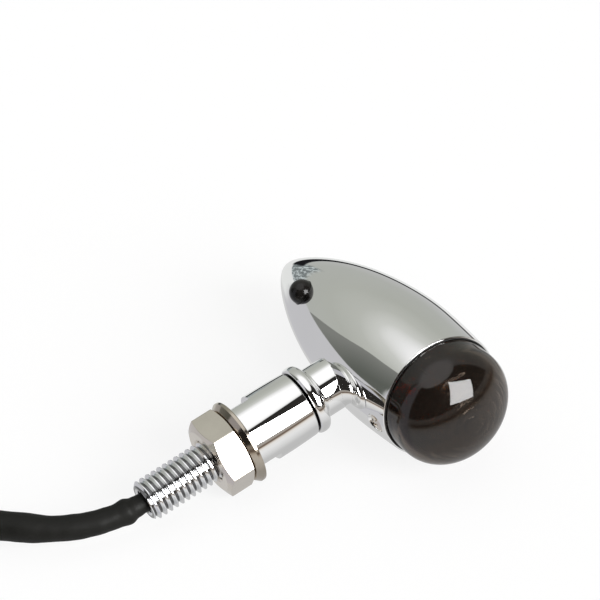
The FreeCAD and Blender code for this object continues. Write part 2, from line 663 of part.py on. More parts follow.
def make_screw():
    """Lens screw on the -X side of the rim. Local X points out of its head, to -X."""
    tip, shank_r, head_h = -dim.screw_len, dim.screw_shank_r, dim.screw_head_h
    chamfer = dim.screw_tip_chamfer
    place = Placement(Vector(num.head_x - num.screw_seat_r, num.screw_y, 0),
                      Rotation(Z_AXIS, 180))
    screw = revolve("lens_screw", [
        (tip, 0), (tip, shank_r - chamfer), (tip + chamfer, shank_r), (0, shank_r),
        (0, dim.screw_head_r), (head_h - dim.screw_dome_h, dim.screw_head_r), (head_h, 0)],
        {5: (dim.screw_dome_arc_r, +1)}, place)
    screw.setExpression(".Placement.Base.x", (dim.head_x - dim.screw_seat_r).text)
    screw.setExpression(".Placement.Base.y", dim.screw_y.text)
    w, arm = dim.cross_w / 2.0, dim.cross_len / 2.0
    pocket(screw, "cross_recess", [
        (-w, arm), (-w, w), (-arm, w), (-arm, -w), (-w, -w), (-w, -arm),
        (w, -arm), (w, -w), (arm, -w), (arm, w), (w, w), (w, arm)],
        dim.cross_deep, offset=head_h, along_normal=False)


# -------------------------------------------------- reflector, socket, bulb
def make_reflector():
    wall, open_r, neck_r = dim.refl_t, dim.refl_open_r, dim.refl_neck_r
    neck_y, collar_y = dim.refl_neck_y, dim.refl_collar_y
    head_revolve("reflector", [
        (dim.lens_skirt_y, open_r), (dim.lens_skirt_y, dim.refl_rim_r),
        (dim.ledge_y0, dim.refl_rim_r), (dim.ledge_y0, open_r + wall),
        (neck_y + wall, neck_r + wall), (collar_y, neck_r + wall),
        (collar_y, neck_r), (neck_y, neck_r)],
        {3: (dim.refl_arc_r, +1), 7: (dim.refl_arc_r, -1)})


def make_socket():
    """Cup with a holed floor and two bayonet slots."""
    y0, y1, chamfer = dim.socket_y0, dim.socket_y1, dim.socket_chamfer
    floor_y = y1 - dim.socket_floor_t
    socket = head_revolve("bulb_socket", [
        (y0, dim.socket_in_r + chamfer), (y0, dim.socket_out_r), (y1, dim.socket_out_r),
        (y1, dim.socket_hole_r), (floor_y, dim.socket_hole_r), (floor_y, dim.socket_in_r),
        (y0 + chamfer, dim.socket_in_r)])
    # each entry slot sits bulb_turn degrees round from the pin, the foot joins them
    reach = dim.socket_out_r * math.sin(math.radians(num.bulb_turn))
    half = dim.slot_w / 2.0
    mouth, foot_y0, foot_y1 = y0 - OVERCUT, dim.pin_y - half, dim.pin_y + half
    outline = [(mouth, reach - half), (mouth, reach + half), (foot_y1, reach + half),
               (foot_y1, -half), (foot_y0, -half), (foot_y0, reach - half)]
    for name, side in (("slot_a", 1.0), ("slot_b", -1.0)):
        # slot_a is cut towards +Z, slot_b towards -Z
        pocket(socket, name, [(x, y * side) for x, y in outline], dim.slot_deep,
               plane="XY_Plane", along_normal=side > 0)


def make_bulb_base():
    """Metal shell of the bulb with a bayonet pin on +Z and one on -Z."""
    y0, y1, radius, wall = dim.base_y0, dim.base_y1, dim.base_r, dim.base_wall
    curl, end_wall = dim.base_curl, dim.base_end_wall
    base = head_revolve("bulb_base", [
        (y0, radius - wall), (y0, radius), (y1, radius), (y1 + curl, radius - curl),
        (y1 + curl, radius - end_wall), (y1, radius - wall - dim.base_wall_step),
        (y1 - curl, radius - wall)])
    for name, side in (("pin_a", 1.0), ("pin_b", -1.0)):
        sketch = new_sketch(base, name + "_outline", offset=(radius - dim.pin_sunk) * side)
        circle = Part.Circle(Vector(num.pin_y, 0, 0), Z_AXIS, num.pin_r)
        geometry = sketch.addGeometry(circle, False)
        hold_point(sketch, geometry, 3, dim.pin_y, Size(0.0))
        hold(sketch, dim.pin_r, "Radius", geometry)
        extrude(base, "PartDesign::Pad", name, sketch,
                dim.pin_tip_r - radius + dim.pin_sunk, reverse=side < 0)


def make_bulb_contact():
    """Insulator that closes the bulb's base, and the domed contact on it."""
    y, contact_y0 = dim.base_y1, dim.contact_y - dim.contact_h
    head_revolve("bulb_insulator", [
        (y, 0), (y, dim.base_r - dim.base_wall - dim.base_wall_step),
        (y + dim.base_curl, dim.base_r - dim.base_end_wall),
        (contact_y0, dim.contact_r + dim.contact_margin), (contact_y0, 0)])
    head_revolve("bulb_contact", [
        (contact_y0, 0), (contact_y0, dim.contact_r), (dim.contact_y, 0)],
        {1: (dim.contact_arc_r, +1)})


def glass_curve(inset):
    """Globe and stem line from the -Y pole to the stem's end, set in from the surface."""
    globe_r = num.globe_r - inset
    stem_r = num.base_r - num.base_wall - 0.12 - inset
    stem_y = num.base_y0
    points = []
    for k in range(19):
        angle = math.radians(180 - k * 6.6)
        points.append((num.globe_y + globe_r * math.cos(angle), globe_r * math.sin(angle), 0))
    points += [(stem_y - 0.6, stem_r + 0.10, 0), (stem_y + 1.2, stem_r, 0),
               (stem_y + 4.0, stem_r, 0)]
    return spline(points, (0.0, 1.0, 0), (1.0, 0.0, 0))


def make_bulb_glass():
    """Blown globe with its stem tucked into the base."""
    outer, full_inner = glass_curve(0.0), glass_curve(num.glass_t)
    # the inner line stops short of the stem's end, which leaves the glass closed there
    samples = [full_inner.value(u) for u in parameters(full_inner, 40)[:39]]
    inner = spline([(p.x, p.y, 0) for p in samples], (0.0, 1.0, 0), (1.0, 0.0, 0))
    outer_end = outer.value(outer.LastParameter)
    inner_end = inner.value(inner.LastParameter)
    outer_pole = outer.value(outer.FirstParameter)
    inner_pole = full_inner.value(full_inner.FirstParameter)
    edges = [outer.toShape()]
    edges += lines((outer_end.x, outer_end.y), (outer_end.x, 0), (inner_end.x, 0),
                   (inner_end.x, inner_end.y))
    edges += [inner.toShape()] + lines((inner_pole.x, 0), (outer_pole.x, 0))
    body = turned_solid(edges)
    body.Placement = HEAD
    add_shape("bulb_glass", body)


def make_filament():
    """Coiled filament across the globe on two lead wires that stand in the stem."""
    coil_pitch, coil_len, coil_r, coil_wire_r = 0.42, 4.2, 0.45, 0.10
    post_r, post_off, post_over = 0.28, 2.15, 0.55
    coil_y, foot_y = num.globe_y + 1.5, num.base_y0 + 0.9
    coil = Part.makeHelix(coil_pitch, coil_len, coil_r)
    edge = coil.Edges[0]
    start = edge.valueAt(edge.FirstParameter)
    section = Part.makeCircle(coil_wire_r, start, edge.tangentAt(edge.FirstParameter))
    filament = Part.Wire(coil).makePipeShell([Part.Wire(section)], True, True)
    filament.rotate(ORIGIN, Y_AXIS, 90)
    filament.translate(Vector(num.head_x - coil_len / 2, coil_y, 0))
    posts = [y_rod(post_r, foot_y - coil_y + post_over,
                   num.head_x + side * post_off, coil_y - post_over) for side in (-1, 1)]
    add_shape("bulb_filament", filament.fuse(posts))


def make_socket_insulator():
    """Disc behind the bulb's contact, with a ring groove that seats the spring."""
    y0 = dim.contact_y
    y1 = y0 + dim.insul_t
    groove_y = y1 - dim.spring_groove_deep
    groove_out = dim.spring_r + dim.spring_groove_half
    groove_in = dim.spring_r - dim.spring_groove_half
    head_revolve("socket_insulator", [
        (y0, 0), (y0, dim.insul_r), (y1, dim.insul_r), (y1, groove_out),
        (groove_y, groove_out), (groove_y, groove_in), (y1, groove_in), (y1, 0)])


def make_socket_spring():
    """Open coil spring between the insulator and the socket floor."""
    end_gap = num.spring_wire_r + 0.06  # from the wire's centre to the face beside it
    y0 = num.contact_y + num.insul_t - num.spring_groove_deep + end_gap
    y1 = num.socket_y1 - num.socket_floor_t - end_gap
    steps = int(24 * num.spring_turns)
    points = []
    for k in range(steps + 1):
        angle = 2 * math.pi * num.spring_turns * k / steps
        points.append((num.head_x + num.spring_r * math.cos(angle),
                       y0 + (y1 - y0) * k / steps, num.spring_r * math.sin(angle)))
    add_shape("socket_spring", tube_along(points, num.spring_wire_r, 1.2))


# -------------------------------------------- leads inside the head, and tag
TAG_CUP_IN = 9.4    # the tag's cup, from the head's axis towards -X
TAG_CUP_Z = -1.6
# Lead lines: (distance from the head's axis towards -X, y, z)
LIVE_START = [
    (0.0, 12.35, 0.0), (0.0, 14.2, 0.0), (0.0, 16.4, 0.0), (1.6, 18.2, 0.1),
    (4.6, 18.9, 0.35), (7.9, 18.1, 0.6), (10.0, 15.4, 0.75), (10.6, 11.2, 0.85),
    (9.9, 6.8, num.wire_off)]
EARTH_START = [
    (TAG_CUP_IN, 8.85, TAG_CUP_Z), (TAG_CUP_IN, 7.6, TAG_CUP_Z), (9.7, 5.8, -1.3)]
# Shared run from there into the neck: (distance as above, y)
NECK_RUN = [(9.85, 3.2), (10.6, 1.3), (12.1, 0.45), (14.0, 0.12), (17.0, 0.0), (20.0, 0.0)]


def make_head_leads():
    for label, start, side in (("live_lead", LIVE_START, 1), ("earth_lead", EARTH_START, -1)):
        z_off = num.wire_off * side
        points = [(num.head_x - inward, y, z) for inward, y, z in start]
        points += [(num.head_x - inward, y, z_off) for inward, y in NECK_RUN]
        points += [(num.wire_gap_x + beyond, 0.0, z_off) for beyond in (2.5, 0.3)]
        add_shape(label, tube_along(points, num.wire_r, 1.6))


def make_earth_tag():
    """Solder tag: a strip lapped on the socket wall with a cup round the lead's end."""
    head_x, wall_r = num.head_x, num.socket_out_r
    strip_t, strip_y, strip_w = 0.35, 8.6, 3.4
    band = y_rod(wall_r + strip_t, strip_w, head_x, strip_y).cut(
        y_rod(wall_r, strip_w, head_x, strip_y))
    keep = Part.makeBox(3.0, strip_w, 4.0, Vector(head_x - wall_r - 1.0, strip_y, -3.6))
    cup = y_rod(1.15, 2.2, head_x - TAG_CUP_IN, 9.0, TAG_CUP_Z)
    tag = band.common(keep).fuse(cup)
    add_shape("earth_tag", tag.cut(y_rod(wall_r, 12.0, head_x, 4.0)))


# --------------------------------------------------- stem leads and sheath
# Centre line of the sheath: (x, y, z)
SHEATH_PATH = [
    (-16.0, 0.0, 0.0), (-20.0, 0.0, 0.0), (-26.0, 0.05, 0.0), (-30.2, 0.30, 0.10),
    (-33.2, 0.75, 0.30), (-36.6, 1.62, 0.66), (-39.9, 2.85, 1.20), (-43.1, 4.33, 1.84),
    (-46.1, 6.05, 2.55), (-49.0, 8.12, 3.40), (-51.8, 10.40, 4.30), (-54.6, 12.80, 5.15),
    (-60.2, 17.4, 6.6), (-66.0, 21.7, 7.9)]
# Outer radius of the sheath: (distance along the path, radius)
SHEATH_RADII = [
    (0.0, 2.25), (10.6, 2.25), (12.2, 2.42), (14.2, 3.02), (16.6, 2.74), (22.0, 2.84),
    (30.0, 2.92), (37.0, 3.35), (90.0, 3.35)]
# Spread of the leads past the sheath: (distance along, apart, across both)
FAN = [(3.5, 0.3, 0.0), (7.0, 1.2, 0.15), (10.5, 2.35, 0.25)]
FAN_SIDE = Vector(0, -0.42, 0.9)  # the way the leads lie apart once they have twisted


def sheath_radius(distance):
    """Radius from the table, eased between its stations."""
    for (start, start_r), (end, end_r) in zip(SHEATH_RADII, SHEATH_RADII[1:]):
        if distance <= end:
            part = (distance - start) / (end - start)
            return start_r + (end_r - start_r) * part * part * (3 - 2 * part)


def make_sheath():
    """Loose sleeve: a lofted skin through circles of changing radius, bored for the leads."""
    curve = spline(SHEATH_PATH)
    total = curve.length()
    count = 34
    outer_rings, inner_rings = [], []
    for k in range(count + 1):
        distance = total * k / count
        u = curve.parameterAtDistance(distance, curve.FirstParameter)
        point, tangent = curve.value(u), curve.tangent(u)[0]
        radius = sheath_radius(distance)
        outer_rings.append(Part.Wire(Part.makeCircle(radius, point, tangent)))
        inner_rings.append(
            Part.Wire(Part.makeCircle(radius - num.sheath_wall, point, tangent)))
    outer = Part.makeLoft(outer_rings, True, False)
    inner = Part.makeLoft(inner_rings, True, False)
    add_shape("cable_sheath", outer.cut(inner))


def lead_frame(curve, u, twist):
    """Point, tangent and sideways direction; twist 0 to 1 turns that from Z to FAN_SIDE."""
    point, tangent = curve.value(u), curve.tangent(u)[0]
    apart = Z_AXIS * (1 - twist) + FAN_SIDE * twist
    return point, tangent, (apart - tangent * apart.dot(tangent)).normalize()


def stem_lead_path(side):
    """One lead's line: straight through the stem, inside the sheath, then fanned out
    to its terminal. Also gives the direction of its end."""
    curve = spline(SHEATH_PATH)
    offset = num.wire_off * side
    points = [Vector(x, 0, offset) for x in (num.wire_gap_x - 0.3, 8.0, 0.0, -8.0)]
    total = curve.length()
    for k in range(14):
        u = curve.parameterAtDistance(total * k / 13.0, curve.FirstParameter)
        point, _, apart = lead_frame(curve, u, min(1.0, k / 4.0))
        points.append(point + apart * offset)
    point, tangent, apart = lead_frame(curve, curve.LastParameter, 1.0)
    across = tangent.cross(apart)
    for distance, spread, lift in FAN:
        points.append(point + tangent * distance + apart * (offset + side * spread)
                      + across * lift)
    end = points[-1]
    direction = (end - points[-2]).normalize()
    points += [end + direction * 2.5, end + direction * 5.0]
    return points, direction


def make_stem_lead(who, side):
    """Lead, bullet terminal and sleeve. The last two have local X along the lead's end."""
    points, direction = stem_lead_path(side)
    add_shape(who + "_wire", tube_along(points, num.wire_r))
    place = Placement(points[-1] - direction * 1.0, Rotation(X_AXIS, direction))
    length, body_r, pin_r = dim.terminal_len, dim.terminal_r, dim.terminal_pin_r
    collar_r = body_r - dim.terminal_collar_drop
    revolve(who + "_terminal", [
        (1.03, 0), (1.03, pin_r), (3.2, pin_r), (3.2, collar_r), (4.0, collar_r),
        (4.0, pin_r), (5.4, pin_r), (5.4, body_r),
        (length - 1.4, body_r), (length - 0.25, 1.0), (length, 0.4), (length, 0)],
        None, place)
    lead_hole_r, back = dim.wire_r + dim.wire_clear, -dim.sleeve_back
    front = dim.sleeve_len - dim.sleeve_back
    revolve(who + "_terminal_sleeve", [
        (back, lead_hole_r), (back, dim.sleeve_r - dim.sleeve_cone_drop),
        (back + dim.sleeve_cone_len, dim.sleeve_r), (front, dim.sleeve_r),
        (front, dim.sleeve_bore_r), (1.0, dim.sleeve_bore_r), (0.0, lead_hole_r)],
        None, place)


# ------------------------------------------------------------ build, check, write
for make in (make_barrel, make_neck_tube, make_neck_nut, make_oring, make_barrel_rings,
             make_flat_washer, make_hex_nut, make_stud, make_housing, make_jewel,
             make_lens, make_gasket, make_screw, make_reflector, make_socket,
             make_bulb_base, make_bulb_contact, make_bulb_glass, make_filament,
             make_socket_insulator, make_socket_spring, make_head_leads, make_earth_tag,
             make_sheath):
    make()
make_stem_lead("live", 1)
make_stem_lead("earth", -1)

doc.recompute()
for item in doc.Objects:
    for state in item.State:
        if state in ("Invalid", "Error"):
            raise RuntimeError("%s is %s" % (item.Name, state))
for piece in pieces:
    shape = piece.Shape
    if shape.isNull() or not shape.isValid():
        raise RuntimeError("%s has no valid shape" % piece.Label)
    if len(shape.Solids) < 1:
        raise RuntimeError("%s has no solid" % piece.Label)
    if shape.Volume <= 0:
        raise RuntimeError("%s has no positive volume" % piece.Label)
os.makedirs("parts", exist_ok=True)
for piece in pieces:
    piece.Shape.exportStep("parts/%s.step" % piece.Label)
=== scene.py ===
import math
import bmesh
import bpy
import numpy as np
from mathutils import Matrix, Vector


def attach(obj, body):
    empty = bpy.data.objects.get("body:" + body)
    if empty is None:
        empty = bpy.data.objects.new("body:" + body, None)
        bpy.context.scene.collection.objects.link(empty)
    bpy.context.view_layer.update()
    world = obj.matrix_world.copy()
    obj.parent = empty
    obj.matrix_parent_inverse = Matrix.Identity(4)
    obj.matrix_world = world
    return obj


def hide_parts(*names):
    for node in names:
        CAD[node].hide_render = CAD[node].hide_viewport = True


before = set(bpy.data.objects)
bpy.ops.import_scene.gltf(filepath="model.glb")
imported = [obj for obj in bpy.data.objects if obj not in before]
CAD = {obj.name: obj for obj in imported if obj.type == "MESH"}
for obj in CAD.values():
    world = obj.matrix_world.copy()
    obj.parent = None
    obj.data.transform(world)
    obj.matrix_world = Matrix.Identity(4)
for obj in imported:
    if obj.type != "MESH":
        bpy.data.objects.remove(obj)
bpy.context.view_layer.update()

MM = 0.001
TAU = 2.0 * math.pi
scene = bpy.context.scene


# =====================================================================
# shader helpers: a shader value that can be added, multiplied, compared
# =====================================================================
class Val:
    def __init__(self, tree, sock):
        self.t, self.s = tree, sock

    def _m(self, op, *others, clamp=False):
        n = self.t.nodes.new("ShaderNodeMath")
        n.operation = op
        n.use_clamp = clamp
        for i, o in enumerate((self,) + others):
            if isinstance(o, Val):
                self.t.links.new(o.s, n.inputs[i])
            else:
                n.inputs[i].default_value = float(o)
        return Val(self.t, n.outputs[0])

    def __add__(self, o): return self._m("ADD", o)
    def __radd__(self, o): return self._m("ADD", o)
    def __mul__(self, o): return self._m("MULTIPLY", o)
    def __rmul__(self, o): return self._m("MULTIPLY", o)
    def __sub__(self, o): return self._m("SUBTRACT", o)
    def __rsub__(self, o): return (self * -1.0) + o
    def __truediv__(self, o): return self._m("DIVIDE", o)
    def power(self, o): return self._m("POWER", o)
    def minimum(self, o): return self._m("MINIMUM", o)
    def maximum(self, o): return self._m("MAXIMUM", o)
    def sin(self): return self._m("SINE")
    def absolute(self): return self._m("ABSOLUTE")

    def step(self, lo, hi):
        """Smooth 0 to 1 between lo and hi."""
        n = self.t.nodes.new("ShaderNodeMapRange")
        n.interpolation_type = "SMOOTHSTEP"
        self.t.links.new(self.s, n.inputs["Value"])
        n.inputs["From Min"].default_value = lo
        n.inputs["From Max"].default_value = hi
        return Val(self.t, n.outputs["Result"])

    def band(self, lo, hi, soft):
        return self.step(lo - soft, lo + soft) * (1.0 - self.step(hi - soft, hi + soft))

    def remap(self, a, b, lo, hi):
        n = self.t.nodes.new("ShaderNodeMapRange")
        self.t.links.new(self.s, n.inputs["Value"])
        for k, v in (("From Min", a), ("From Max", b), ("To Min", lo), ("To Max", hi)):
            n.inputs[k].default_value = v
        return Val(self.t, n.outputs["Result"])


def mix_colour(tree, fac, a, b):
    n = tree.nodes.new("ShaderNodeMix")
    n.data_type = "RGBA"
    for sock, v in ((n.inputs[0], fac), (n.inputs[6], a), (n.inputs[7], b)):
        if isinstance(v, Val):
            tree.links.new(v.s, sock)
        elif isinstance(v, bpy.types.NodeSocket):
            tree.links.new(v, sock)
        elif isinstance(v, (int, float)):
            sock.default_value = v
        else:
            sock.default_value = (v[0], v[1], v[2], 1.0)
    return n.outputs[2]


def object_coords(tree, stretch=(1, 1, 1), turn=(0, 0, 0)):
    tc = tree.nodes.new("ShaderNodeTexCoord")
    mp = tree.nodes.new("ShaderNodeMapping")
    mp.inputs["Scale"].default_value = stretch
    mp.inputs["Rotation"].default_value = turn
    tree.links.new(tc.outputs["Object"], mp.inputs["Vector"])
    return mp.outputs["Vector"]


def noise(tree, vec, scale, detail=3.0, rough=0.5, distortion=0.0):
    n = tree.nodes.new("ShaderNodeTexNoise")
    n.inputs["Scale"].default_value = scale
    n.inputs["Detail"].default_value = detail
    n.inputs["Roughness"].default_value = rough
    n.inputs["Distortion"].default_value = distortion
    tree.links.new(vec, n.inputs["Vector"])
    return Val(tree, n.outputs[0])


def new_material(name):
    m = bpy.data.materials.new(name)
    m.use_nodes = True
    t = m.node_tree
    b = t.nodes["Principled BSDF"]
    return m, t, b


def put(tree, sock, v):
    if isinstance(v, Val):
        tree.links.new(v.s, sock)
    elif isinstance(v, bpy.types.NodeSocket):
        tree.links.new(v, sock)
    elif isinstance(v, (int, float)):
        sock.default_value = v
    else:
        sock.default_value = (v[0], v[1], v[2], 1.0)


def bump(tree, bsdf, height, strength, distance):
    n = tree.nodes.new("ShaderNodeBump")
    n.inputs["Strength"].default_value = strength
    n.inputs["Distance"].default_value = distance
    put(tree, n.inputs["Height"], height)
    tree.links.new(n.outputs["Normal"], bsdf.inputs["Normal"])
    return n


def edge_wear(tree, radius=0.0004):
    """1 along convex edges, 0 on open faces."""
    g = tree.nodes.new("ShaderNodeNewGeometry")
    return Val(tree, g.outputs["Pointiness"]).step(0.51, 0.60)


def metal(name, colour, rough, tint_var=0.03, rough_var=0.03, cloud=90.0, grain=2600.0,
          grain_height=0.000003, stretch=(1, 1, 1), dark=(0.6, 0.6, 0.6), dirt=0.05, wear=0.0, orange=0.0):
    m, t, b = new_material(name)
    v = object_coords(t)
    vs = object_coords(t, stretch)
    n1 = noise(t, v, cloud, 4.0, 0.55)
    n2 = noise(t, vs, grain, 3.0, 0.6)
    n3 = noise(t, v, cloud * 5.0, 5.0, 0.6)
    bright = tuple(min(1.0, c * (1.0 + tint_var)) for c in colour)
    low = tuple(c * (1.0 - tint_var) for c in colour)
    col = mix_colour(t, n1.step(0.3, 0.7), low, bright)
    spots = n3.step(0.62, 0.80) * dirt
    col = mix_colour(t, spots, col, tuple(c * d for c, d in zip(colour, dark)))
    if wear:
        col = mix_colour(t, edge_wear(t) * wear, col, tuple(min(1.0, c * 1.12) for c in colour))
    put(t, b.inputs["Base Color"], col)
    b.inputs["Metallic"].default_value = 1.0
    put(t, b.inputs["Roughness"], (n2 - 0.5) * rough_var + (n1 - 0.5) * rough_var + spots * 0.8 + rough)
    h = n2 * 1.0
    if orange:
        n4 = noise(t, v, 420.0, 1.0, 0.4)
        h = h + n4 * (orange / max(grain_height, 1e-9))
    bump(t, b, h, 1.0, grain_height)
    return m


# =====================================================================
# materials
# =====================================================================
M = {}
M["chrome_plate"] = metal("chrome_plate", (0.90, 0.90, 0.895), 0.035, tint_var=0.012, rough_var=0.02, cloud=60.0,
                          grain=1500.0, grain_height=0.0000007, dirt=0.015, orange=0.0000022)
M["zinc_steel"] = metal("zinc_steel", (0.83, 0.835, 0.85), 0.10, tint_var=0.05, rough_var=0.06, cloud=260.0,
                        grain=5200.0, grain_height=0.000003, dirt=0.20, wear=0.3)
M["zinc_bright"] = metal("zinc_bright", (0.87, 0.875, 0.885), 0.13, tint_var=0.04, rough_var=0.06, cloud=260.0,
                         grain=5200.0, grain_height=0.000003, dirt=0.12, wear=0.3)
M["nickel_steel"] = metal("nickel_steel", (0.79, 0.735, 0.665), 0.13, tint_var=0.035, rough_var=0.06, cloud=140.0,
                          grain=3800.0, grain_height=0.0000035, stretch=(1.0, 1.0, 0.15), dirt=0.12, wear=0.5)
M["spring_steel"] = metal("spring_steel", (0.60, 0.59, 0.58), 0.30, tint_var=0.05, rough_var=0.1, cloud=300.0, dirt=0.2)
M["plated_brass"] = metal("plated_brass", (0.77, 0.75, 0.69), 0.24, tint_var=0.05, rough_var=0.08, cloud=220.0, dirt=0.2)
M["terminal_brass"] = metal("terminal_brass", (0.86, 0.69, 0.38), 0.20, tint_var=0.06, rough_var=0.10, cloud=300.0,
                            grain=3000.0, grain_height=0.000005, dirt=0.25, wear=0.5)
M["solder"] = metal("solder", (0.66, 0.66, 0.67), 0.42, tint_var=0.06, rough_var=0.15, cloud=500.0, grain_height=0.00002, dirt=0.2)
M["tungsten"] = metal("tungsten", (0.42, 0.41, 0.40), 0.40, tint_var=0.05, rough_var=0.1, cloud=900.0)


def shade(name, base, tint, mask_of):
    """A copy of a material with painted shade: its colour is tinted where mask_of(x, radius about the stem, in mm) is
    1.
    """
    m = M[base].copy()
    m.name = name
    t = m.node_tree
    b = t.nodes["Principled BSDF"]
    tc = t.nodes.new("ShaderNodeTexCoord")
    sp = t.nodes.new("ShaderNodeSeparateXYZ")
    t.links.new(tc.outputs["Object"], sp.inputs[0])
    x, y, z = (Val(t, sp.outputs[i]) * 1000.0 for i in range(3))
    rad = (y * y + z * z).power(0.5)
    old = b.inputs["Base Color"].links[0].from_socket
    dark = mix_colour(t, 1.0, old, tint)
    mult = t.nodes.new("ShaderNodeMix")
    mult.data_type, mult.blend_type = "RGBA", "MULTIPLY"
    mult.inputs[0].default_value = 1.0
    t.links.new(old, mult.inputs[6])
    mult.inputs[7].default_value = (tint[0], tint[1], tint[2], 1.0)
    t.nodes.remove(dark.node)
    put(t, b.inputs["Base Color"], mix_colour(t, mask_of(x, rad), old, mult.outputs[2]))
    return m


# gives the object a painted-shade copy of a material as its only material
def use_painted_shade_copy(ob, mat):
    ob.data.materials.clear()
    ob.data.materials.append(mat)


def bright_reflector():
    m, t, b = new_material("bright_reflector")
    v = object_coords(t)
    n1 = noise(t, v, 150.0, 3.0)
    col = mix_colour(t, n1.step(0.35, 0.7), (0.80, 0.79, 0.77), (0.88, 0.87, 0.86))
    put(t, b.inputs["Base Color"], col)
    b.inputs["Metallic"].default_value = 1.0
    put(t, b.inputs["Roughness"], n1 * 0.10 + 0.10)
    bump(t, b, noise(t, v, 700.0, 2.0), 1.0, 0.00001)
    return m


M["bright_reflector"] = bright_reflector()


def plastic(name, colour, rough, spec=0.5, var=0.10, cloud=200.0, grain=4000.0, height=0.00001, coat=0.0,
            stretch=(1, 1, 1), dust=0.0, dust_colour=(0.30, 0.30, 0.29)):
    m, t, b = new_material(name)
    v = object_coords(t)
    n1 = noise(t, v, cloud, 4.0, 0.6)
    n2 = noise(t, object_coords(t, stretch), grain, 3.0, 0.6)
    n3 = noise(t, v, cloud * 7.0, 2.0, 0.5)
    col = mix_colour(t, n1, tuple(c * (1 - var) for c in colour), tuple(min(1, c * (1 + var)) for c in colour))
    if dust:
        col = mix_colour(t, n3.step(0.60, 0.72) * dust, col, dust_colour)
    put(t, b.inputs["Base Color"], col)
    put(t, b.inputs["Roughness"], (n2 - 0.5) * 0.18 + (n1 - 0.5) * 0.10 + rough)
    b.inputs["Specular IOR Level"].default_value = spec
    b.inputs["Coat Weight"].default_value = coat
    b.inputs["Coat Roughness"].default_value = 0.06
    bump(t, b, n2 * 0.6 + n1 * 1.6, 1.0, height)
    return m


M["black_pvc"] = plastic("black_pvc", (0.0078, 0.0078, 0.0068), 0.50, spec=0.15, var=0.22, cloud=330.0, grain=2400.0,
                         height=0.00007, dust=0.06, dust_colour=(0.030, 0.030, 0.028))
M["black_rubber"] = plastic("black_rubber", (0.014, 0.014, 0.014), 0.48, spec=0.4, var=0.2, height=0.00002)
M["phenolic"] = plastic("phenolic", (0.16, 0.085, 0.045), 0.55, var=0.2, height=0.00002)
M["orange_wire"] = plastic("orange_wire", (0.80, 0.23, 0.03), 0.40, var=0.06, height=0.000012)
M["black_wire"] = plastic("black_wire", (0.018, 0.018, 0.018), 0.40, var=0.15, height=0.000012)
M["black_glass"] = plastic("black_glass", (0.012, 0.011, 0.012), 0.12, spec=0.6, var=0.2, height=0.000004)


def jewel_plastic():
    m, t, b = new_material("jewel_plastic")
    v = object_coords(t)
    n1 = noise(t, v, 350.0, 3.0, 0.55)
    col = mix_colour(t, n1.step(0.35, 0.70), (0.004, 0.0036, 0.0034), (0.012, 0.0105, 0.0095))
    put(t, b.inputs["Base Color"], col)
    put(t, b.inputs["Roughness"], n1 * 0.12 + 0.10)
    b.inputs["Specular IOR Level"].default_value = 0.24
    b.inputs["Coat Weight"].default_value = 0.10
    b.inputs["Coat Roughness"].default_value = 0.05
    bump(t, b, n1, 1.0, 0.000020)
    return m


M["jewel_plastic"] = jewel_plastic()


def glassy(name, tint, rough, ior, shadow_tint, ripple=0.0, ripple_scale=260.0, tint2=None, spec=0.5, clear=1.0):
    """See-through moulding: light also passes it on shadow rays, so what is inside is lit."""
    m, t, b = new_material(name)
    v = object_coords(t)
    n1 = noise(t, v, 120.0, 3.0, 0.5)
    n2 = noise(t, v, ripple_scale, 2.0, 0.5)
    col = mix_colour(t, n1.step(0.3, 0.7), tint, tint2 or tint)
    put(t, b.inputs["Base Color"], col)
    put(t, b.inputs["Roughness"], n1 * 0.02 + rough)
    b.inputs["IOR"].default_value = ior
    b.inputs["Transmission Weight"].default_value = clear
    b.inputs["Specular IOR Level"].default_value = spec
    if ripple:
        bump(t, b, n2, 1.0, ripple)
    lp = t.nodes.new("ShaderNodeLightPath")
    tr = t.nodes.new("ShaderNodeBsdfTransparent")
    tr.inputs["Color"].default_value = (shadow_tint[0], shadow_tint[1], shadow_tint[2], 1.0)
    mx = t.nodes.new("ShaderNodeMixShader")
    out = t.nodes["Material Output"]
    t.links.new(lp.outputs["Is Shadow Ray"], mx.inputs[0])
    t.links.new(b.outputs[0], mx.inputs[1])
    t.links.new(tr.outputs[0], mx.inputs[2])
    t.links.new(mx.outputs[0], out.inputs["Surface"])
    return m


M["smoked_lens"] = glassy("smoked_lens", (0.120, 0.092, 0.071), 0.0, 1.49, (0.30, 0.25, 0.21), ripple=0.0,
                          tint2=(0.150, 0.116, 0.090), clear=0.95)
M["amber_glass"] = glassy("amber_glass", (0.92, 0.42, 0.06), 0.02, 1.50, (0.95, 0.6, 0.3), ripple=0.00001)
M["clear_black_sleeve"] = glassy("clear_black_sleeve", (0.46, 0.46, 0.45), 0.12, 1.45, (0.6, 0.6, 0.6), ripple=0.00001)


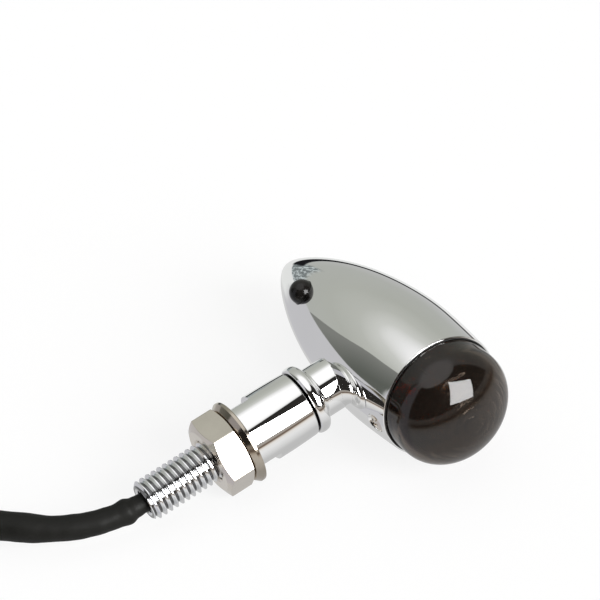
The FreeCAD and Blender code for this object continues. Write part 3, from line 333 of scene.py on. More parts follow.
# =====================================================================
# mesh helpers (all lengths in millimetres until a mesh is written)
# =====================================================================
def clean_profile(pts, arcs=None, fillet=0.0, steps=7.0, keep=()):
    """Closed outline to a dense list of points. arcs: {segment: (radius, side)}. Corners between straight runs are
    rounded by `fillet`, except those listed in keep."""
    arcs = arcs or {}
    n = len(pts)
    P = [np.array(p, float) for p in pts]
    out = []
    for i in range(n):
        a, b, prev = P[i], P[(i + 1) % n], P[i - 1]
        straight = (i not in arcs) and ((i - 1) % n not in arcs)
        done = False
        if fillet and straight and i not in keep and a[1] > 1e-6:
            u, v = prev - a, b - a
            lu, lv = np.linalg.norm(u), np.linalg.norm(v)
            if lu > 1e-6 and lv > 1e-6:
                u, v = u / lu, v / lv
                ang = math.acos(max(-1, min(1, float(u @ v))))
                if math.degrees(math.pi - ang) > 12:
                    r = fillet if not isinstance(fillet, dict) else fillet.get(i, 0.0)
                    t = r / math.tan(ang / 2)
                    lim = 0.42 * min(lu, lv)
                    if t > lim:
                        t = lim
                        r = t * math.tan(ang / 2)
                    pa, pb = a + u * t, a + v * t
                    bis = (u + v) / np.linalg.norm(u + v)
                    c = a + bis * (r / math.sin(ang / 2))
                    a0 = math.atan2(*(pa - c)[::-1])
                    a1 = math.atan2(*(pb - c)[::-1])
                    d = (a1 - a0 + math.pi) % TAU - math.pi
                    m = max(2, int(abs(math.degrees(d)) / 18) + 1)
                    for k in range(m + 1):
                        g = a0 + d * k / m
                        out.append(c + r * np.array([math.cos(g), math.sin(g)]))
                    done = True
        if not done:
            out.append(a)
        if i in arcs:
            rad, side = arcs[i]
            mid, d = (a + b) / 2, b - a
            half = np.linalg.norm(d) / 2
            left = np.array([-d[1], d[0]]) / (2 * half)
            c = mid - left * (math.sqrt(max(0.0, rad ** 2 - half ** 2)) * side)
            a0, a1 = math.atan2(*(a - c)[::-1]), math.atan2(*(b - c)[::-1])
            dd = (a1 - a0 + math.pi) % TAU - math.pi
            m = max(4, int(abs(math.degrees(dd)) / steps) + 1)
            for k in range(1, m):
                g = a0 + dd * k / m
                out.append(c + rad * np.array([math.cos(g), math.sin(g)]))
    res = [out[0]]
    for p in out[1:]:
        if np.linalg.norm(p - res[-1]) > 1e-5:
            res.append(p)
    if np.linalg.norm(res[0] - res[-1]) < 1e-5:
        res.pop()
    return np.array(res)


def subdivide(prof, longest):
    """Splits long straight runs, so quads stay near square."""
    out = []
    n = len(prof)
    for i in range(n):
        a, b = prof[i], prof[(i + 1) % n]
        out.append(a)
        if a[1] < 1e-6 and b[1] < 1e-6:
            continue
        k = int(np.linalg.norm(b - a) / longest)
        for j in range(1, k + 1):
            out.append(a + (b - a) * j / (k + 1))
    return np.array(out)


def profile_normals(prof, crease=24.0):
    n = len(prof)
    nxt = np.roll(prof, -1, 0)
    d = nxt - prof
    ln = np.linalg.norm(d, axis=1)
    ln[ln < 1e-12] = 1e-12
    area = 0.5 * np.sum(prof[:, 0] * nxt[:, 1] - nxt[:, 0] * prof[:, 1])
    sg = 1.0 if area > 0 else -1.0
    nr = np.stack([d[:, 1], -d[:, 0]], 1) / ln[:, None] * sg
    na, nb = nr.copy(), nr.copy()
    for k in range(n):
        p = (k - 1) % n
        if prof[k][1] < 1e-6:
            continue
        if float(nr[p] @ nr[k]) > math.cos(math.radians(crease)):
            v = nr[p] * ln[p] + nr[k] * ln[k]
            v = v / np.linalg.norm(v)
            nb[p], na[k] = v, v
    for k in range(n):
        for arr, idx in ((na, k), (nb, (k + 1) % n)):
            if prof[idx][1] < 1e-6 and abs(nr[k][0]) > 0.85:
                arr[k] = np.array([math.copysign(1.0, nr[k][0]), 0.0])
    return na, nb, sg


def write_mesh(name, verts, faces, loop_normals=None, flat=False):
    """faces: list of index arrays, each n x 3 or n x 4. verts in mm."""
    me = bpy.data.meshes.new(name)
    verts = np.asarray(verts, float) * MM
    me.vertices.add(len(verts))
    me.vertices.foreach_set("co", verts.astype(np.float32).ravel())
    idx, starts, at = [], [], 0
    for f in faces:
        f = np.asarray(f, int)
        if not len(f):
            continue
        idx.append(f.ravel())
        starts.append(at + np.arange(len(f)) * f.shape[1])
        at += f.size
    idx = np.concatenate(idx)
    me.loops.add(len(idx))
    me.loops.foreach_set("vertex_index", idx.astype(np.int32))
    starts = np.concatenate(starts)
    me.polygons.add(len(starts))
    me.polygons.foreach_set("loop_start", starts.astype(np.int32))
    me.update(calc_edges=True)
    me.validate()
    me.polygons.foreach_set("use_smooth", np.full(len(me.polygons), not flat, bool))
    if loop_normals is not None and len(loop_normals) == len(me.loops):
        me.normals_split_custom_set(np.asarray(loop_normals, float))
    ob = bpy.data.objects.new(name, me)
    scene.collection.objects.link(ob)
    return ob


def frame_of(origin, axis, up=(0, 0, 1)):
    """Columns: local X along axis, origin in mm."""
    a = Vector(axis).normalized()
    y = Vector(up).cross(a)
    if y.length < 1e-6:
        y = Vector((0, 1, 0))
    y.normalize()
    z = a.cross(y)
    F = np.eye(4)
    F[:3, 0], F[:3, 1], F[:3, 2], F[:3, 3] = a, y, z, origin
    return F


HX = 39.5
STEM = np.eye(4)
HEAD = np.eye(4)
HEAD[:3, 0], HEAD[:3, 1], HEAD[:3, 2], HEAD[:3, 3] = (0, 1, 0), (-1, 0, 0), (0, 0, 1), (HX, 0, 0)


def lathe(name, prof, nseg, F=STEM, crease=24.0):
    """Solid of revolution with exact normals, one vertex where it meets its axis."""
    prof = np.asarray(prof, float)
    K = len(prof)
    na, nb, sg = profile_normals(prof, crease)
    th = np.arange(nseg) * TAU / nseg
    ct, st = np.cos(th), np.sin(th)
    verts, first = [], []
    at = 0
    for s, r in prof:
        first.append(at)
        if r < 1e-6:
            verts.append(np.array([[s, 0, 0]]))
            at += 1
        else:
            verts.append(np.stack([np.full(nseg, s), r * ct, r * st], 1))
            at += nseg
    verts = np.concatenate(verts)
    R, T = F[:3, :3], F[:3, 3]
    verts = verts @ R.T + T
    j = np.arange(nseg)
    j2 = (j + 1) % nseg

    def nv(n2, jj):
        return np.stack([np.full(len(jj), n2[0]), n2[1] * ct[jj], n2[1] * st[jj]], 1)
    quads, qn, tris, tn = [], [], [], []
    for k in range(K):
        k2 = (k + 1) % K
        pa, pb = prof[k][1] < 1e-6, prof[k2][1] < 1e-6
        if pa and pb:
            continue
        if pa:
            f = np.stack([np.full(nseg, first[k]), first[k2] + j, first[k2] + j2], 1)
            n = np.stack([nv(na[k], j), nv(nb[k], j), nv(nb[k], j2)], 1)
            if sg < 0:
                f, n = f[:, ::-1], n[:, ::-1]
            tris.append(f)
            tn.append(n)
        elif pb:
            f = np.stack([first[k] + j, np.full(nseg, first[k2]), first[k] + j2], 1)
            n = np.stack([nv(na[k], j), nv(nb[k], j), nv(na[k], j2)], 1)
            if sg < 0:
                f, n = f[:, ::-1], n[:, ::-1]
            tris.append(f)
            tn.append(n)
        else:
            f = np.stack([first[k] + j, first[k2] + j, first[k2] + j2, first[k] + j2], 1)
            n = np.stack([nv(na[k], j), nv(nb[k], j), nv(nb[k], j2), nv(na[k], j2)], 1)
            if sg < 0:
                f, n = f[:, ::-1], n[:, ::-1]
            quads.append(f)
            qn.append(n)
    faces, norms = [], []
    if quads:
        faces.append(np.concatenate(quads))
        norms.append(np.concatenate(qn).reshape(-1, 3))
    if tris:
        faces.append(np.concatenate(tris))
        norms.append(np.concatenate(tn).reshape(-1, 3))
    norms = np.concatenate(norms) @ R.T
    # faces must wind with their normals
    f0 = faces[0]
    mid = len(f0) // 3
    a, b, c = verts[f0[mid][0]], verts[f0[mid][1]], verts[f0[mid][2]]
    face_n = np.cross(b - a, c - a)
    if face_n @ norms[mid * f0.shape[1]] < 0:
        off = 0
        fixed = []
        for f in faces:
            w = f.shape[1]
            blk = norms[off:off + f.size].reshape(len(f), w, 3)[:, ::-1]
            norms[off:off + f.size] = blk.reshape(-1, 3)
            fixed.append(f[:, ::-1])
            off += f.size
        faces = fixed
    return write_mesh(name, verts, faces, norms)


def rows_solid(name, rows, F=STEM, angle=28.0, closed=True):
    """rows: list of (x, r) where either may be an array over the turn; neighbours are joined, last to first."""
    nseg = max(len(np.atleast_1d(v)) for row in rows for v in row)
    th = np.arange(nseg) * TAU / nseg
    V = []
    for x, r in rows:
        x = np.broadcast_to(np.asarray(x, float), (nseg,))
        r = np.broadcast_to(np.asarray(r, float), (nseg,))
        V.append(np.stack([x, r * np.cos(th), r * np.sin(th)], 1))
    V = np.array(V)
    K = len(rows)
    vid = np.arange(K * nseg).reshape(K, nseg)
    ks = range(K) if closed else range(K - 1)
    f = np.concatenate([np.stack([vid[k], vid[(k + 1) % K], np.roll(vid[(k + 1) % K], -1), np.roll(vid[k], -1)], 1) for k in ks])
    verts = V.reshape(-1, 3) @ F[:3, :3].T + F[:3, 3]
    ob = write_mesh(name, verts, [f])
    fix_winding(ob)
    ob.data.set_sharp_from_angle(angle=math.radians(angle))
    return ob


def fix_winding(ob):
    bm = bmesh.new()
    bm.from_mesh(ob.data)
    bmesh.ops.recalc_face_normals(bm, faces=bm.faces)
    bm.to_mesh(ob.data)
    bm.free()


def smin(a, b, k):
    h = np.clip(0.5 + 0.5 * (b - a) / k, 0, 1)
    return b + (a - b) * h - k * h * (1 - h)


def cylinder(name, F, x0, x1, r, nseg=96, r2=None):
    r2 = r if r2 is None else r2
    return lathe(name, [(x0, 0), (x0, r), (x1, r2), (x1, 0)], nseg, F)


def boolean(ob, cutters, op="DIFFERENCE"):
    for c in cutters:
        m = ob.modifiers.new("b", "BOOLEAN")
        m.operation = op
        m.object = c
        m.solver = "MANIFOLD"
    bpy.context.view_layer.update()
    dg = bpy.context.evaluated_depsgraph_get()
    me = bpy.data.meshes.new_from_object(ob.evaluated_get(dg), depsgraph=dg)
    ob.modifiers.clear()
    old = ob.data
    ob.data = me
    me.name = old.name
    for c in cutters:
        bpy.data.objects.remove(c)
    return ob


def tidy(ob, dist=0.000002):
    bm = bmesh.new()
    bm.from_mesh(ob.data)
    bmesh.ops.remove_doubles(bm, verts=bm.verts, dist=dist)
    bmesh.ops.dissolve_degenerate(bm, edges=bm.edges, dist=dist)
    bm.to_mesh(ob.data)
    bm.free()
    return ob


def exact_normals(ob, prof, F, angle=28.0, near=0.012, agree=0.94):
    """After a cut: corners that still lie on the turned surface get its exact normals, the rest keep smooth-by-angle ones."""
    me = ob.data
    for p in me.polygons:
        p.use_smooth = True
    if me.has_custom_normals:
        me.free_normals_split() if hasattr(me, "free_normals_split") else None
    me.set_sharp_from_angle(angle=math.radians(angle))
    nl = len(me.loops)
    cn = np.zeros(nl * 3, np.float32)
    me.corner_normals.foreach_get("vector", cn)
    cn = cn.reshape(-1, 3).astype(float)
    vi = np.zeros(nl, np.int32)
    me.loops.foreach_get("vertex_index", vi)
    co = np.zeros(len(me.vertices) * 3, np.float32)
    me.vertices.foreach_get("co", co)
    co = co.reshape(-1, 3).astype(float) / MM
    pn = np.zeros(len(me.polygons) * 3, np.float32)
    me.polygon_normals.foreach_get("vector", pn)
    pn = pn.reshape(-1, 3).astype(float)
    tot = np.zeros(len(me.polygons), np.int32)
    me.polygons.foreach_get("loop_total", tot)
    face_of = np.repeat(np.arange(len(tot)), tot)
    loc = (co - F[:3, 3]) @ F[:3, :3]
    s, r = loc[:, 0], np.hypot(loc[:, 1], loc[:, 2])
    prof = np.asarray(prof, float)
    na, nb, _ = profile_normals(prof)
    A, B = prof, np.roll(prof, -1, 0)
    D = B - A
    L2 = (D ** 2).sum(1)
    L2[L2 < 1e-12] = 1e-12
    # nearest two profile runs for each vertex
    P = np.stack([s, r], 1)
    best = np.full((len(P), 3), -1)
    dist = np.full((len(P), 3), 1e9)
    tt = np.zeros((len(P), 3))
    for k in range(len(prof)):
        if A[k][1] < 1e-6 and B[k][1] < 1e-6:
            continue
        t = np.clip(((P - A[k]) @ D[k]) / L2[k], 0, 1)
        d = np.linalg.norm(P - (A[k] + t[:, None] * D[k]), axis=1)
        for slot in range(3):
            m = d < dist[:, slot]
            if slot < 2:
                dist[m, slot + 1:] = dist[m, slot:-1]
                best[m, slot + 1:] = best[m, slot:-1]
                tt[m, slot + 1:] = tt[m, slot:-1]
            dist[m, slot] = d[m]
            best[m, slot] = k
            tt[m, slot] = t[m]
            d = np.where(m, 1e9, d)
    ang = np.arctan2(loc[:, 2], loc[:, 1])
    fn = pn[face_of] @ F[:3, :3]
    done = np.zeros(nl, bool)
    for slot in range(3):
        k = best[vi, slot]
        ok = (dist[vi, slot] < near) & (k >= 0) & ~done
        t = tt[vi, slot]
        n2 = na[k] * (1 - t)[:, None] + nb[k] * t[:, None]
        n2 /= np.maximum(np.linalg.norm(n2, axis=1), 1e-9)[:, None]
        a = ang[vi]
        n3 = np.stack([n2[:, 0], n2[:, 1] * np.cos(a), n2[:, 1] * np.sin(a)], 1)
        good = ok & ((n3 * fn).sum(1) > agree)
        cn[good] = n3[good] @ F[:3, :3].T
        done |= good
    me.normals_split_custom_set(cn)
    return ob


def piece(ob, body, slot, *nodes):
    ob.data.materials.clear()
    ob.data.materials.append(M[slot])
    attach(ob, body)
    if nodes:
        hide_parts(*nodes)
    return ob


def cubic(points, count, per=None):
    """C2 curve through points (natural ends), `count` samples even in the parameter."""
    P = np.asarray(points, float)
    t = np.concatenate([[0], np.cumsum(np.linalg.norm(np.diff(P, axis=0), axis=1))])
    n = len(P)
    h = np.diff(t)
    A = np.zeros((n, n))
    Bv = np.zeros((n, P.shape[1]))
    A[0, 0] = A[-1, -1] = 1
    for i in range(1, n - 1):
        A[i, i - 1], A[i, i], A[i, i + 1] = h[i - 1], 2 * (h[i - 1] + h[i]), h[i]
        Bv[i] = 6 * ((P[i + 1] - P[i]) / h[i] - (P[i] - P[i - 1]) / h[i - 1])
    m = np.linalg.solve(A, Bv)
    u = np.linspace(0, t[-1], count) if per is None else np.asarray(per) * t[-1]
    i = np.clip(np.searchsorted(t, u, side="right") - 1, 0, n - 2)
    a = (t[i + 1] - u)[:, None]
    b = (u - t[i])[:, None]
    hh = h[i][:, None]
    return (m[i] * a ** 3 + m[i + 1] * b ** 3) / (6 * hh) + (P[i] / hh - m[i] * hh / 6) * a + (P[i + 1] / hh - m[i + 1] * hh / 6) * b


# =====================================================================
# housing shell
# =====================================================================
SHELL = [(-21.4500, 14.8000), (-20.2632, 14.9141), (-19.0757, 15.0199), (-17.8874, 15.1181), (-16.6987, 15.2096), (-15.5095, 15.2955), (-14.3200, 15.3764), (-13.1303, 15.4533), (-11.9401, 15.5248), (-10.7496, 15.5887), (-9.5586, 15.6425), (-8.3670, 15.6839), (-7.1751, 15.7106), (-5.9829, 15.7201), (-4.7906, 15.7105), (-3.5987, 15.6818), (-2.4074, 15.6350), (-1.2169, 15.5708), (-0.0274, 15.4902), (1.1610, 15.3938), (2.3480, 15.2826), (3.5337, 15.1574), (4.7179, 15.0187), (5.9004, 14.8667), (7.0811, 14.7011), (8.2598, 14.5217), (9.4362, 14.3284), (10.6103, 14.1210), (11.7818, 13.8993), (12.9504, 13.6633), (14.1160, 13.4126), (15.2784, 13.1473), (16.4373, 12.8671), (17.5924, 12.5720), (18.7436, 12.2617), (19.8905, 11.9363), (21.0330, 11.5954), (22.1708, 11.2390), (23.3035, 10.8670), (24.4309, 10.4790), (25.5525, 10.0747), (26.6679, 9.6538), (27.7768, 9.2159), (28.8788, 8.7607), (29.9733, 8.2878), (31.0597, 7.7969), (32.1374, 7.2870), (33.2055, 6.7571), (34.2629, 6.2065), (35.3088, 5.6341), (36.3412, 5.0378), (37.3539, 4.4087), (38.3387, 3.7368), (39.2859, 3.0131), (40.1453, 2.1893), (40.7507, 1.1691), (40.9500, 0.0000)]
RIM_Y, SEAT_R, WALL = -21.45, 14.40, 1.2
# mirror the last few points across the axis, so that the tip is round
mirror = [(s, -r) for s, r in SHELL[-2:-8:-1]]
full = cubic(SHELL + mirror, 2600)
cut_at = int(np.argmin(np.abs(full[:, 1]) + (full[:, 0] < 40.5) * 99.0))
full = full[:cut_at]
arc = np.concatenate([[0], np.cumsum(np.linalg.norm(np.diff(full, axis=0), axis=1))])
# even steps along the side, finer over the tip
n_out = 190
w = np.linspace(0, 1, n_out)
w = 1 - (1 - w) ** 1.25
outer = np.stack([np.interp(w * arc[-1], arc, full[:, i]) for i in (0, 1)], 1)
outer[-1] = (40.95, 0.0)
lip = 0.12
# rim lip: rounded front edge of the wall round the lens seal
front = clean_profile([(RIM_Y + 1.5, SEAT_R), (RIM_Y - lip, SEAT_R), (RIM_Y - lip, 14.80 - lip), (RIM_Y, 14.80), (RIM_Y + 1.5, 14.93)],
                      fillet=0.09, keep=(0, 4))
front = front[:-1]
keep_front = [p for p in front if p[0] < RIM_Y + 0.04 or abs(p[1] - SEAT_R) < 0.02]
outer_prof = np.array(keep_front + [p for p in outer if p[0] > RIM_Y + 0.06] + [(RIM_Y + 1.5, 0.0)])
solid_prof = outer_prof
NSEG = 224
shell = lathe("housing_shell_body", solid_prof, NSEG, HEAD)
# cavity: seal seat, skirt bore, ledge, then the hollow bullet
inner = []
tang = np.gradient(full, axis=0)
tang /= np.linalg.norm(tang, axis=1)[:, None]
off = full + np.stack([tang[:, 1], -tang[:, 0]], 1) * WALL
for p in off[::26]:
    if p[0] > -14.0 + 0.9 and p[1] > 0.05:
        inner.append(tuple(p))
tip_in = 40.95 - WALL * 1.15
inner = [p for p in inner if p[0] < tip_in - 0.02]
cav = [(-30.0, 0.0), (-30.0, SEAT_R - 0.001), (RIM_Y + 1.5, SEAT_R - 0.001), (RIM_Y + 1.5, 13.4), (-14.9, 13.4), (-14.9, 12.9), (-14.0, 12.9),
       (-14.0, 13.5)] + inner + [(tip_in, 0.0)]
cav_ob = lathe("cav", np.array(cav), 128, HEAD)
boss = cylinder("boss", STEM, 8.0, 26.25, 7.0, 96)
boolean(cav_ob, [boss])
cutters = [cav_ob,
           cylinder("c1", STEM, 8.0, 25.4, 6.18, 128),
           cylinder("c2", STEM, 20.0, 32.0, 4.45, 96),
           cylinder("c3", STEM, HX - SEAT_R - 4.0, HX - SEAT_R, 1.0, 12)]
bpy.data.objects.remove(cutters.pop())
SCREW_Y = -18.10
SCREW = frame_of((HX - SEAT_R, SCREW_Y, 0.0), (-1, 0, 0))
pk = lathe("pk", clean_profile([(0.0, 0.0), (0.0, 2.30), (0.42, 2.30), (0.70, 2.52), (4.0, 2.52), (4.0, 0.0)]), 96, SCREW)
hole = cylinder("hole", SCREW, -5.0, 1.0, 1.06, 48)
JO, JN = (32.73299, 20.59494, 9.57577), (-0.552921, 0.286526, 0.782420)
JEWEL = frame_of(JO, JN)
jh = cylinder("jh", JEWEL, -4.0, 4.0, 3.06, 128)
cutters += [pk, hole, jh]
boolean(shell, cutters)
tidy(shell)
exact_normals(shell, solid_prof, HEAD)
piece(shell, "head", "chrome_plate", "housing_shell")

# =====================================================================
# lens, seal, screw
# =====================================================================
LR, FY, CY, AY, LT = 14.10, -20.65, -25.40, -35.65, 1.55
SR, SI, SY = 13.30, 11.75, -15.50
a = np.linspace(0, math.pi / 2, 76)
dome_out = np.stack([CY - (CY - AY) * np.sin(a), LR * np.cos(a)], 1)
a2 = np.linspace(0, math.pi / 2, 210)
rho = (LR - LT) * np.cos(a2)
yy = CY - (CY - AY - LT) * np.sin(a2)
rib = sum(0.17 * np.exp(-((rho - q) / 0.50) ** 2) for q in (2.6, 4.6, 6.6, 8.6, 10.3))
dome_in = np.stack([yy + rib, rho], 1)
dome_out[-1, 1] = dome_in[-1, 1] = 0.0
lens_prof = [tuple(p) for p in clean_profile([(SY, SI), (SY, SR), (FY, SR), (FY, LR), (CY, LR), (CY, SI)], fillet=0.12, keep=(4, 5))[:-1]]
lens_prof += [tuple(p) for p in dome_out[1:]] + [tuple(p) for p in dome_in[::-1]] + [(FY, LR - LT), (FY + 0.6, SI)]
lens_prof = subdivide(np.array(lens_prof), 0.6)
lens = lathe("lens_moulding", lens_prof, 224, HEAD)
boolean(lens, [cylinder("h2", SCREW, -6.0, 0.5, 1.06, 48)])
tidy(lens)
exact_normals(lens, lens_prof, HEAD)
piece(lens, "head", "smoked_lens", "lens")

gask = lathe("lens_seal_ring", clean_profile([(-21.62, 14.13), (-21.62, 14.38), (-19.95, 14.38), (-19.95, 13.4), (FY, 13.4), (FY, 14.13)],
                                              fillet=0.10), 224, HEAD)
piece(gask, "head", "black_rubber", "lens_gasket")

sc = lathe("lens_screw_body", clean_profile([(-3.5, 0), (-3.5, 0.7), (-3.2, 1.0), (0.03, 1.0), (0.03, 2.12), (0.34, 2.12), (0.98, 0)],
                                             {5: (3.90, 1)}, fillet=0.08, keep=(0, 6)), 96, SCREW)
h1 = write_mesh("x1", [(x, y, z) for x in (0.36, 2.0) for y in (-1.30, 1.30) for z in (-0.27, 0.27)],
                [[(0, 1, 3, 2), (4, 6, 7, 5), (0, 4, 5, 1), (2, 3, 7, 6), (0, 2, 6, 4), (1, 5, 7, 3)]])
h2 = write_mesh("x2", [(x, y, z) for x in (0.36, 2.0) for y in (-0.27, 0.27) for z in (-1.30, 1.30)],
                [[(0, 1, 3, 2), (4, 6, 7, 5), (0, 4, 5, 1), (2, 3, 7, 6), (0, 2, 6, 4), (1, 5, 7, 3)]])
for hh in (h1, h2):
    hh.data.transform(Matrix.Scale(1.0, 4))
    SM = Matrix([[float(SCREW[i][j]) * (MM if j == 3 else 1.0) for j in range(4)] for i in range(4)])
    SM[3][3] = 1.0
    rot = Matrix.Rotation(math.radians(24), 4, "X")
    hh.data.transform(SM @ rot)
    fix_winding(hh)
boolean(sc, [h1, h2])
tidy(sc, 0.000001)
for p in sc.data.polygons:
    p.use_smooth = True
sc.data.set_sharp_from_angle(angle=math.radians(28))
piece(sc, "retaining_screw", "nickel_steel", "lens_screw")

# =====================================================================
# tell-tale jewel
# =====================================================================
dome = clean_profile([(-3.3, 0), (-3.3, 2.40), (-2.9, 2.80), (-1.4, 2.80), (-1.2, 3.0), (-0.05, 3.0), (0.05, 2.95), (3.0, 0)], {6: (2.9501, 1)},
                     fillet={1: 0.1, 2: 0.1, 5: 0.04}, steps=4.0)
jewel = lathe("telltale_jewel_dome", dome, 128, JEWEL)
piece(jewel, "head", "jewel_plastic", "telltale_jewel")

# =====================================================================
# neck with its bead, barrel
# =====================================================================
fil, gx0, gx1 = 0.95, 13.45, 14.95
neck_pts = [(5.6, 2.6), (5.6, 4.25), (5.9, 4.55), (7.2, 4.55), (7.2, 3.9), (8.22, 3.9), (8.22, 4.55), (12.5, 4.55), (12.5, 5.95),
            (gx0, 5.95), (gx0, 4.62), (gx1, 4.62), (gx1, 5.95), (16.10, 5.95), (16.10, 7.05), (16.25, 7.20), (16.80, 8.17), (18.45, 8.17),
            (19.20, 6.15 + fil), (19.20 + fil, 6.15), (25.4, 6.15), (25.4, 4.4), (27.9, 4.4), (28.3, 4.0), (28.3, 2.6)]
neck_prof = clean_profile(neck_pts, {15: (1.1, 1), 16: (2.4, 1), 17: (1.35, 1), 18: (fil * 1.02, -1)}, fillet=0.05, steps=5.0)
neck = lathe("neck_tube_body", subdivide(neck_prof, 0.9), 224, STEM, crease=30.0)
piece(neck, "head", "chrome_plate", "neck_tube")
# painted shade: the neck's chrome is darkened below x 16.22 mm, where the spigot shows in the gap at the barrel's end
use_painted_shade_copy(neck, shade("chrome_gap_painted_shade", "chrome_plate", (0.12, 0.12, 0.12), lambda x, r: (1.0 - x.step(16.22, 16.42))))

BL, CH = 15.9, 0.35
NT = 512
th = np.arange(NT) * TAU / NT


def barrel_r(x):
    """Crowned outside with a chamfer at both ends."""
    x = np.asarray(x, float)
    lin = 7.86 + (7.80 - 7.86) * (x - CH) / (BL - 2 * CH)
    half = (BL - 2 * CH) / 2
    mid = BL / 2
    crown = np.sqrt(150.0 ** 2 - np.clip(x - mid, -half, half) ** 2) - math.sqrt(150.0 ** 2 - half ** 2)
    r = lin + crown
    r = np.where(x < CH, 7.86 - (CH - x), r)
    r = np.where(x > BL - CH, 7.80 - (x - (BL - CH)), r)
    return r


flat_dir = math.radians(47.8)
cosf = np.abs(np.cos(th - flat_dir))
rf = 7.0 / np.maximum(cosf, 1e-3)
xs = np.concatenate([np.linspace(0, 0.5, 9), np.linspace(0.7, 5.1, 14), np.linspace(5.22, 5.60, 15), np.linspace(5.9, 15.3, 26),
                     np.linspace(15.42, 15.9, 9)])
rows = []
for x in xs:
    r0 = float(barrel_r(x))
    # soften the chamfer corner
    for c0, sgn in ((CH, 1), (BL - CH, -1)):
        dd = abs(x - c0)
        if dd < 0.12:
            r0 -= 0.030 * (1 - dd / 0.12) ** 2
    k = np.clip((x - 5.30) / 0.20, 0, 1)
    wgt = 1 - k * k * (3 - 2 * k)
    rr = r0 - wgt * (r0 - smin(np.full(NT, r0), rf, 0.10))
    rows.append((x, rr))
end_in = [(BL, 7.30), (BL, 6.8), (BL, 6.15), (BL - 0.15, 6.0), (12.5, 6.0), (12.4, 5.9), (12.4, 4.7), (12.3, 4.6), (9.7, 4.6), (9.6, 4.7),
          (9.6, 6.1), (9.5, 6.2), (0.15, 6.2), (0.0, 6.35), (0.0, 6.7)]
rows += end_in
barrel = rows_solid("barrel_body", rows, STEM, angle=32.0)
piece(barrel, "stem", "chrome_plate", "barrel")
# painted shade: the barrel's chrome is darkened from x 15.84 mm on, its end lip at the gap to the neck
use_painted_shade_copy(barrel, shade("chrome_lip_painted_shade", "chrome_plate", (0.12, 0.12, 0.12), lambda x, r: x.step(15.72, 15.84)))

# =====================================================================
# washer, nut
# =====================================================================
wp = clean_profile([(-2.0, 5.15), (-2.0, 9.0), (-0.85, 10.0), (0, 10.0), (0, 5.15), (-0.15, 5.0), (-1.85, 5.0)],
                   fillet={1: 0.22, 2: 0.16, 3: 0.28, 0: 0.05, 4: 0.05, 5: 0.05, 6: 0.05})
washer = lathe("flat_washer_body", subdivide(wp, 0.8), 224, STEM)
piece(washer, "washer", "nickel_steel", "flat_washer")
# painted shade: the whole washer's colour is darkened, standing in for the dark reflection of the nut in it
use_painted_shade_copy(washer, shade("nickel_washer_painted_shade", "nickel_steel", (0.62, 0.60, 0.56), lambda x, r: r.step(4.0, 5.0)))


def nut_rows(x0, thick, af, bore, sink, cham_a, cham_b, nth=540, p=150.0):
    t_ = np.arange(nth) * TAU / nth
    acc = np.zeros(nth)
    for k in range(6):
        c_ = np.cos(t_ - math.radians(30 + 60 * k))
        acc += np.maximum(c_, 0) ** p
    hexr = (af / 2) / acc ** (1.0 / p)
    (ra, ta), (rb, tb) = cham_a, cham_b
    slope_a, slope_b = (af * 0.62 - ra) / ta, (af * 0.62 - rb) / tb
    st_ = np.concatenate([np.linspace(0, 0.06, 4), np.linspace(0.10, 1.25, 30)])
    x1 = x0 + thick
    rws = [(x0, bore + sink + 0.04), (x0, bore + sink + 0.25), (x0, 6.3), (x0, 6.9), (x0, ra - 0.12)]
    for s_ in st_:
        rws.append((x0 + s_, smin(hexr, np.full(nth, ra + slope_a * s_), 0.14)))
    for s_ in np.linspace(1.5, thick - 1.5, 10):
        rws.append((x0 + s_, hexr))
    for s_ in st_[::-1]:
        rws.append((x1 - s_, smin(hexr, np.full(nth, rb + slope_b * s_), 0.14)))
    rws += [(x1, rb - 0.12), (x1, 7.3), (x1, 6.5), (x1, bore + sink + 0.25), (x1, bore + sink + 0.04), (x1 - 0.03, bore + sink),
            (x1 - sink, bore + 0.02), (x1 - sink - 0.04, bore)]
    for s_ in np.linspace(0.8, thick - 0.8, 9):
        rws.append((x1 - s_, bore))
    rws += [(x0 + sink + 0.04, bore), (x0 + sink, bore + 0.02), (x0 + 0.03, bore + sink)]
    return rws


nut = rows_solid("hex_nut_body", nut_rows(-8.8, 6.8, 17.0, 4.97, 0.45, (7.5, 1.3), (8.0, 0.95)), STEM, angle=30.0)
piece(nut, "nut", "nickel_steel", "hex_nut")

# =====================================================================
# stud with a real helical thread
# =====================================================================
PITCH, ROOT, MAJOR, CREST = 1.5, 3.98, 4.90, 0.20
tan30 = math.tan(math.radians(30))
half_root = (PITCH - CREST) / 2.0 - (MAJOR - ROOT) * tan30
NA, NS = 168, 24


def thread_r(phase):
    """phase 0..1 along one pitch, 0 at the root's middle."""
    z = np.abs(((phase + 0.5) % 1.0) - 0.5) * PITCH
    r = ROOT + np.clip(z - half_root, 0, None) / tan30
    return smin(r, np.full_like(r, MAJOR + 0.006), 0.035)


x_start, x_stop = -27.6, 1.0
ph0 = (-24.70 - x_start) / PITCH
n_rows = int((x_stop - x_start) / PITCH * NS)
ii, jj = np.meshgrid(np.arange(n_rows + 1), np.arange(NA), indexing="ij")
# each step round the turn moves the thread along by a share of the pitch; a row is one phase value
x = x_start + (ii / NS + jj / NA) * PITCH
phase = ii / NS - ph0
r = thread_r(phase.astype(float))
thj = jj * TAU / NA
Vt = np.stack([x, r * np.cos(thj), r * np.sin(thj)], -1).reshape(-1, 3)
vid = np.arange((n_rows + 1) * NA).reshape(n_rows + 1, NA)
F_ = []
for j in range(NA - 1):
    F_.append(np.stack([vid[:-1, j], vid[1:, j], vid[1:, j + 1], vid[:-1, j + 1]], 1))
# closing column: the turn's end meets the start one pitch on
F_.append(np.stack([vid[:-1 - NS, NA - 1], vid[1:-NS, NA - 1], vid[NS + 1:, 0], vid[NS:-1, 0]], 1))
F_ = np.concatenate(F_)
cap0 = len(Vt)
Vt = np.concatenate([Vt, [[x_start - 1.0, 0, 0], [x_stop + 3.2, 0, 0]]])
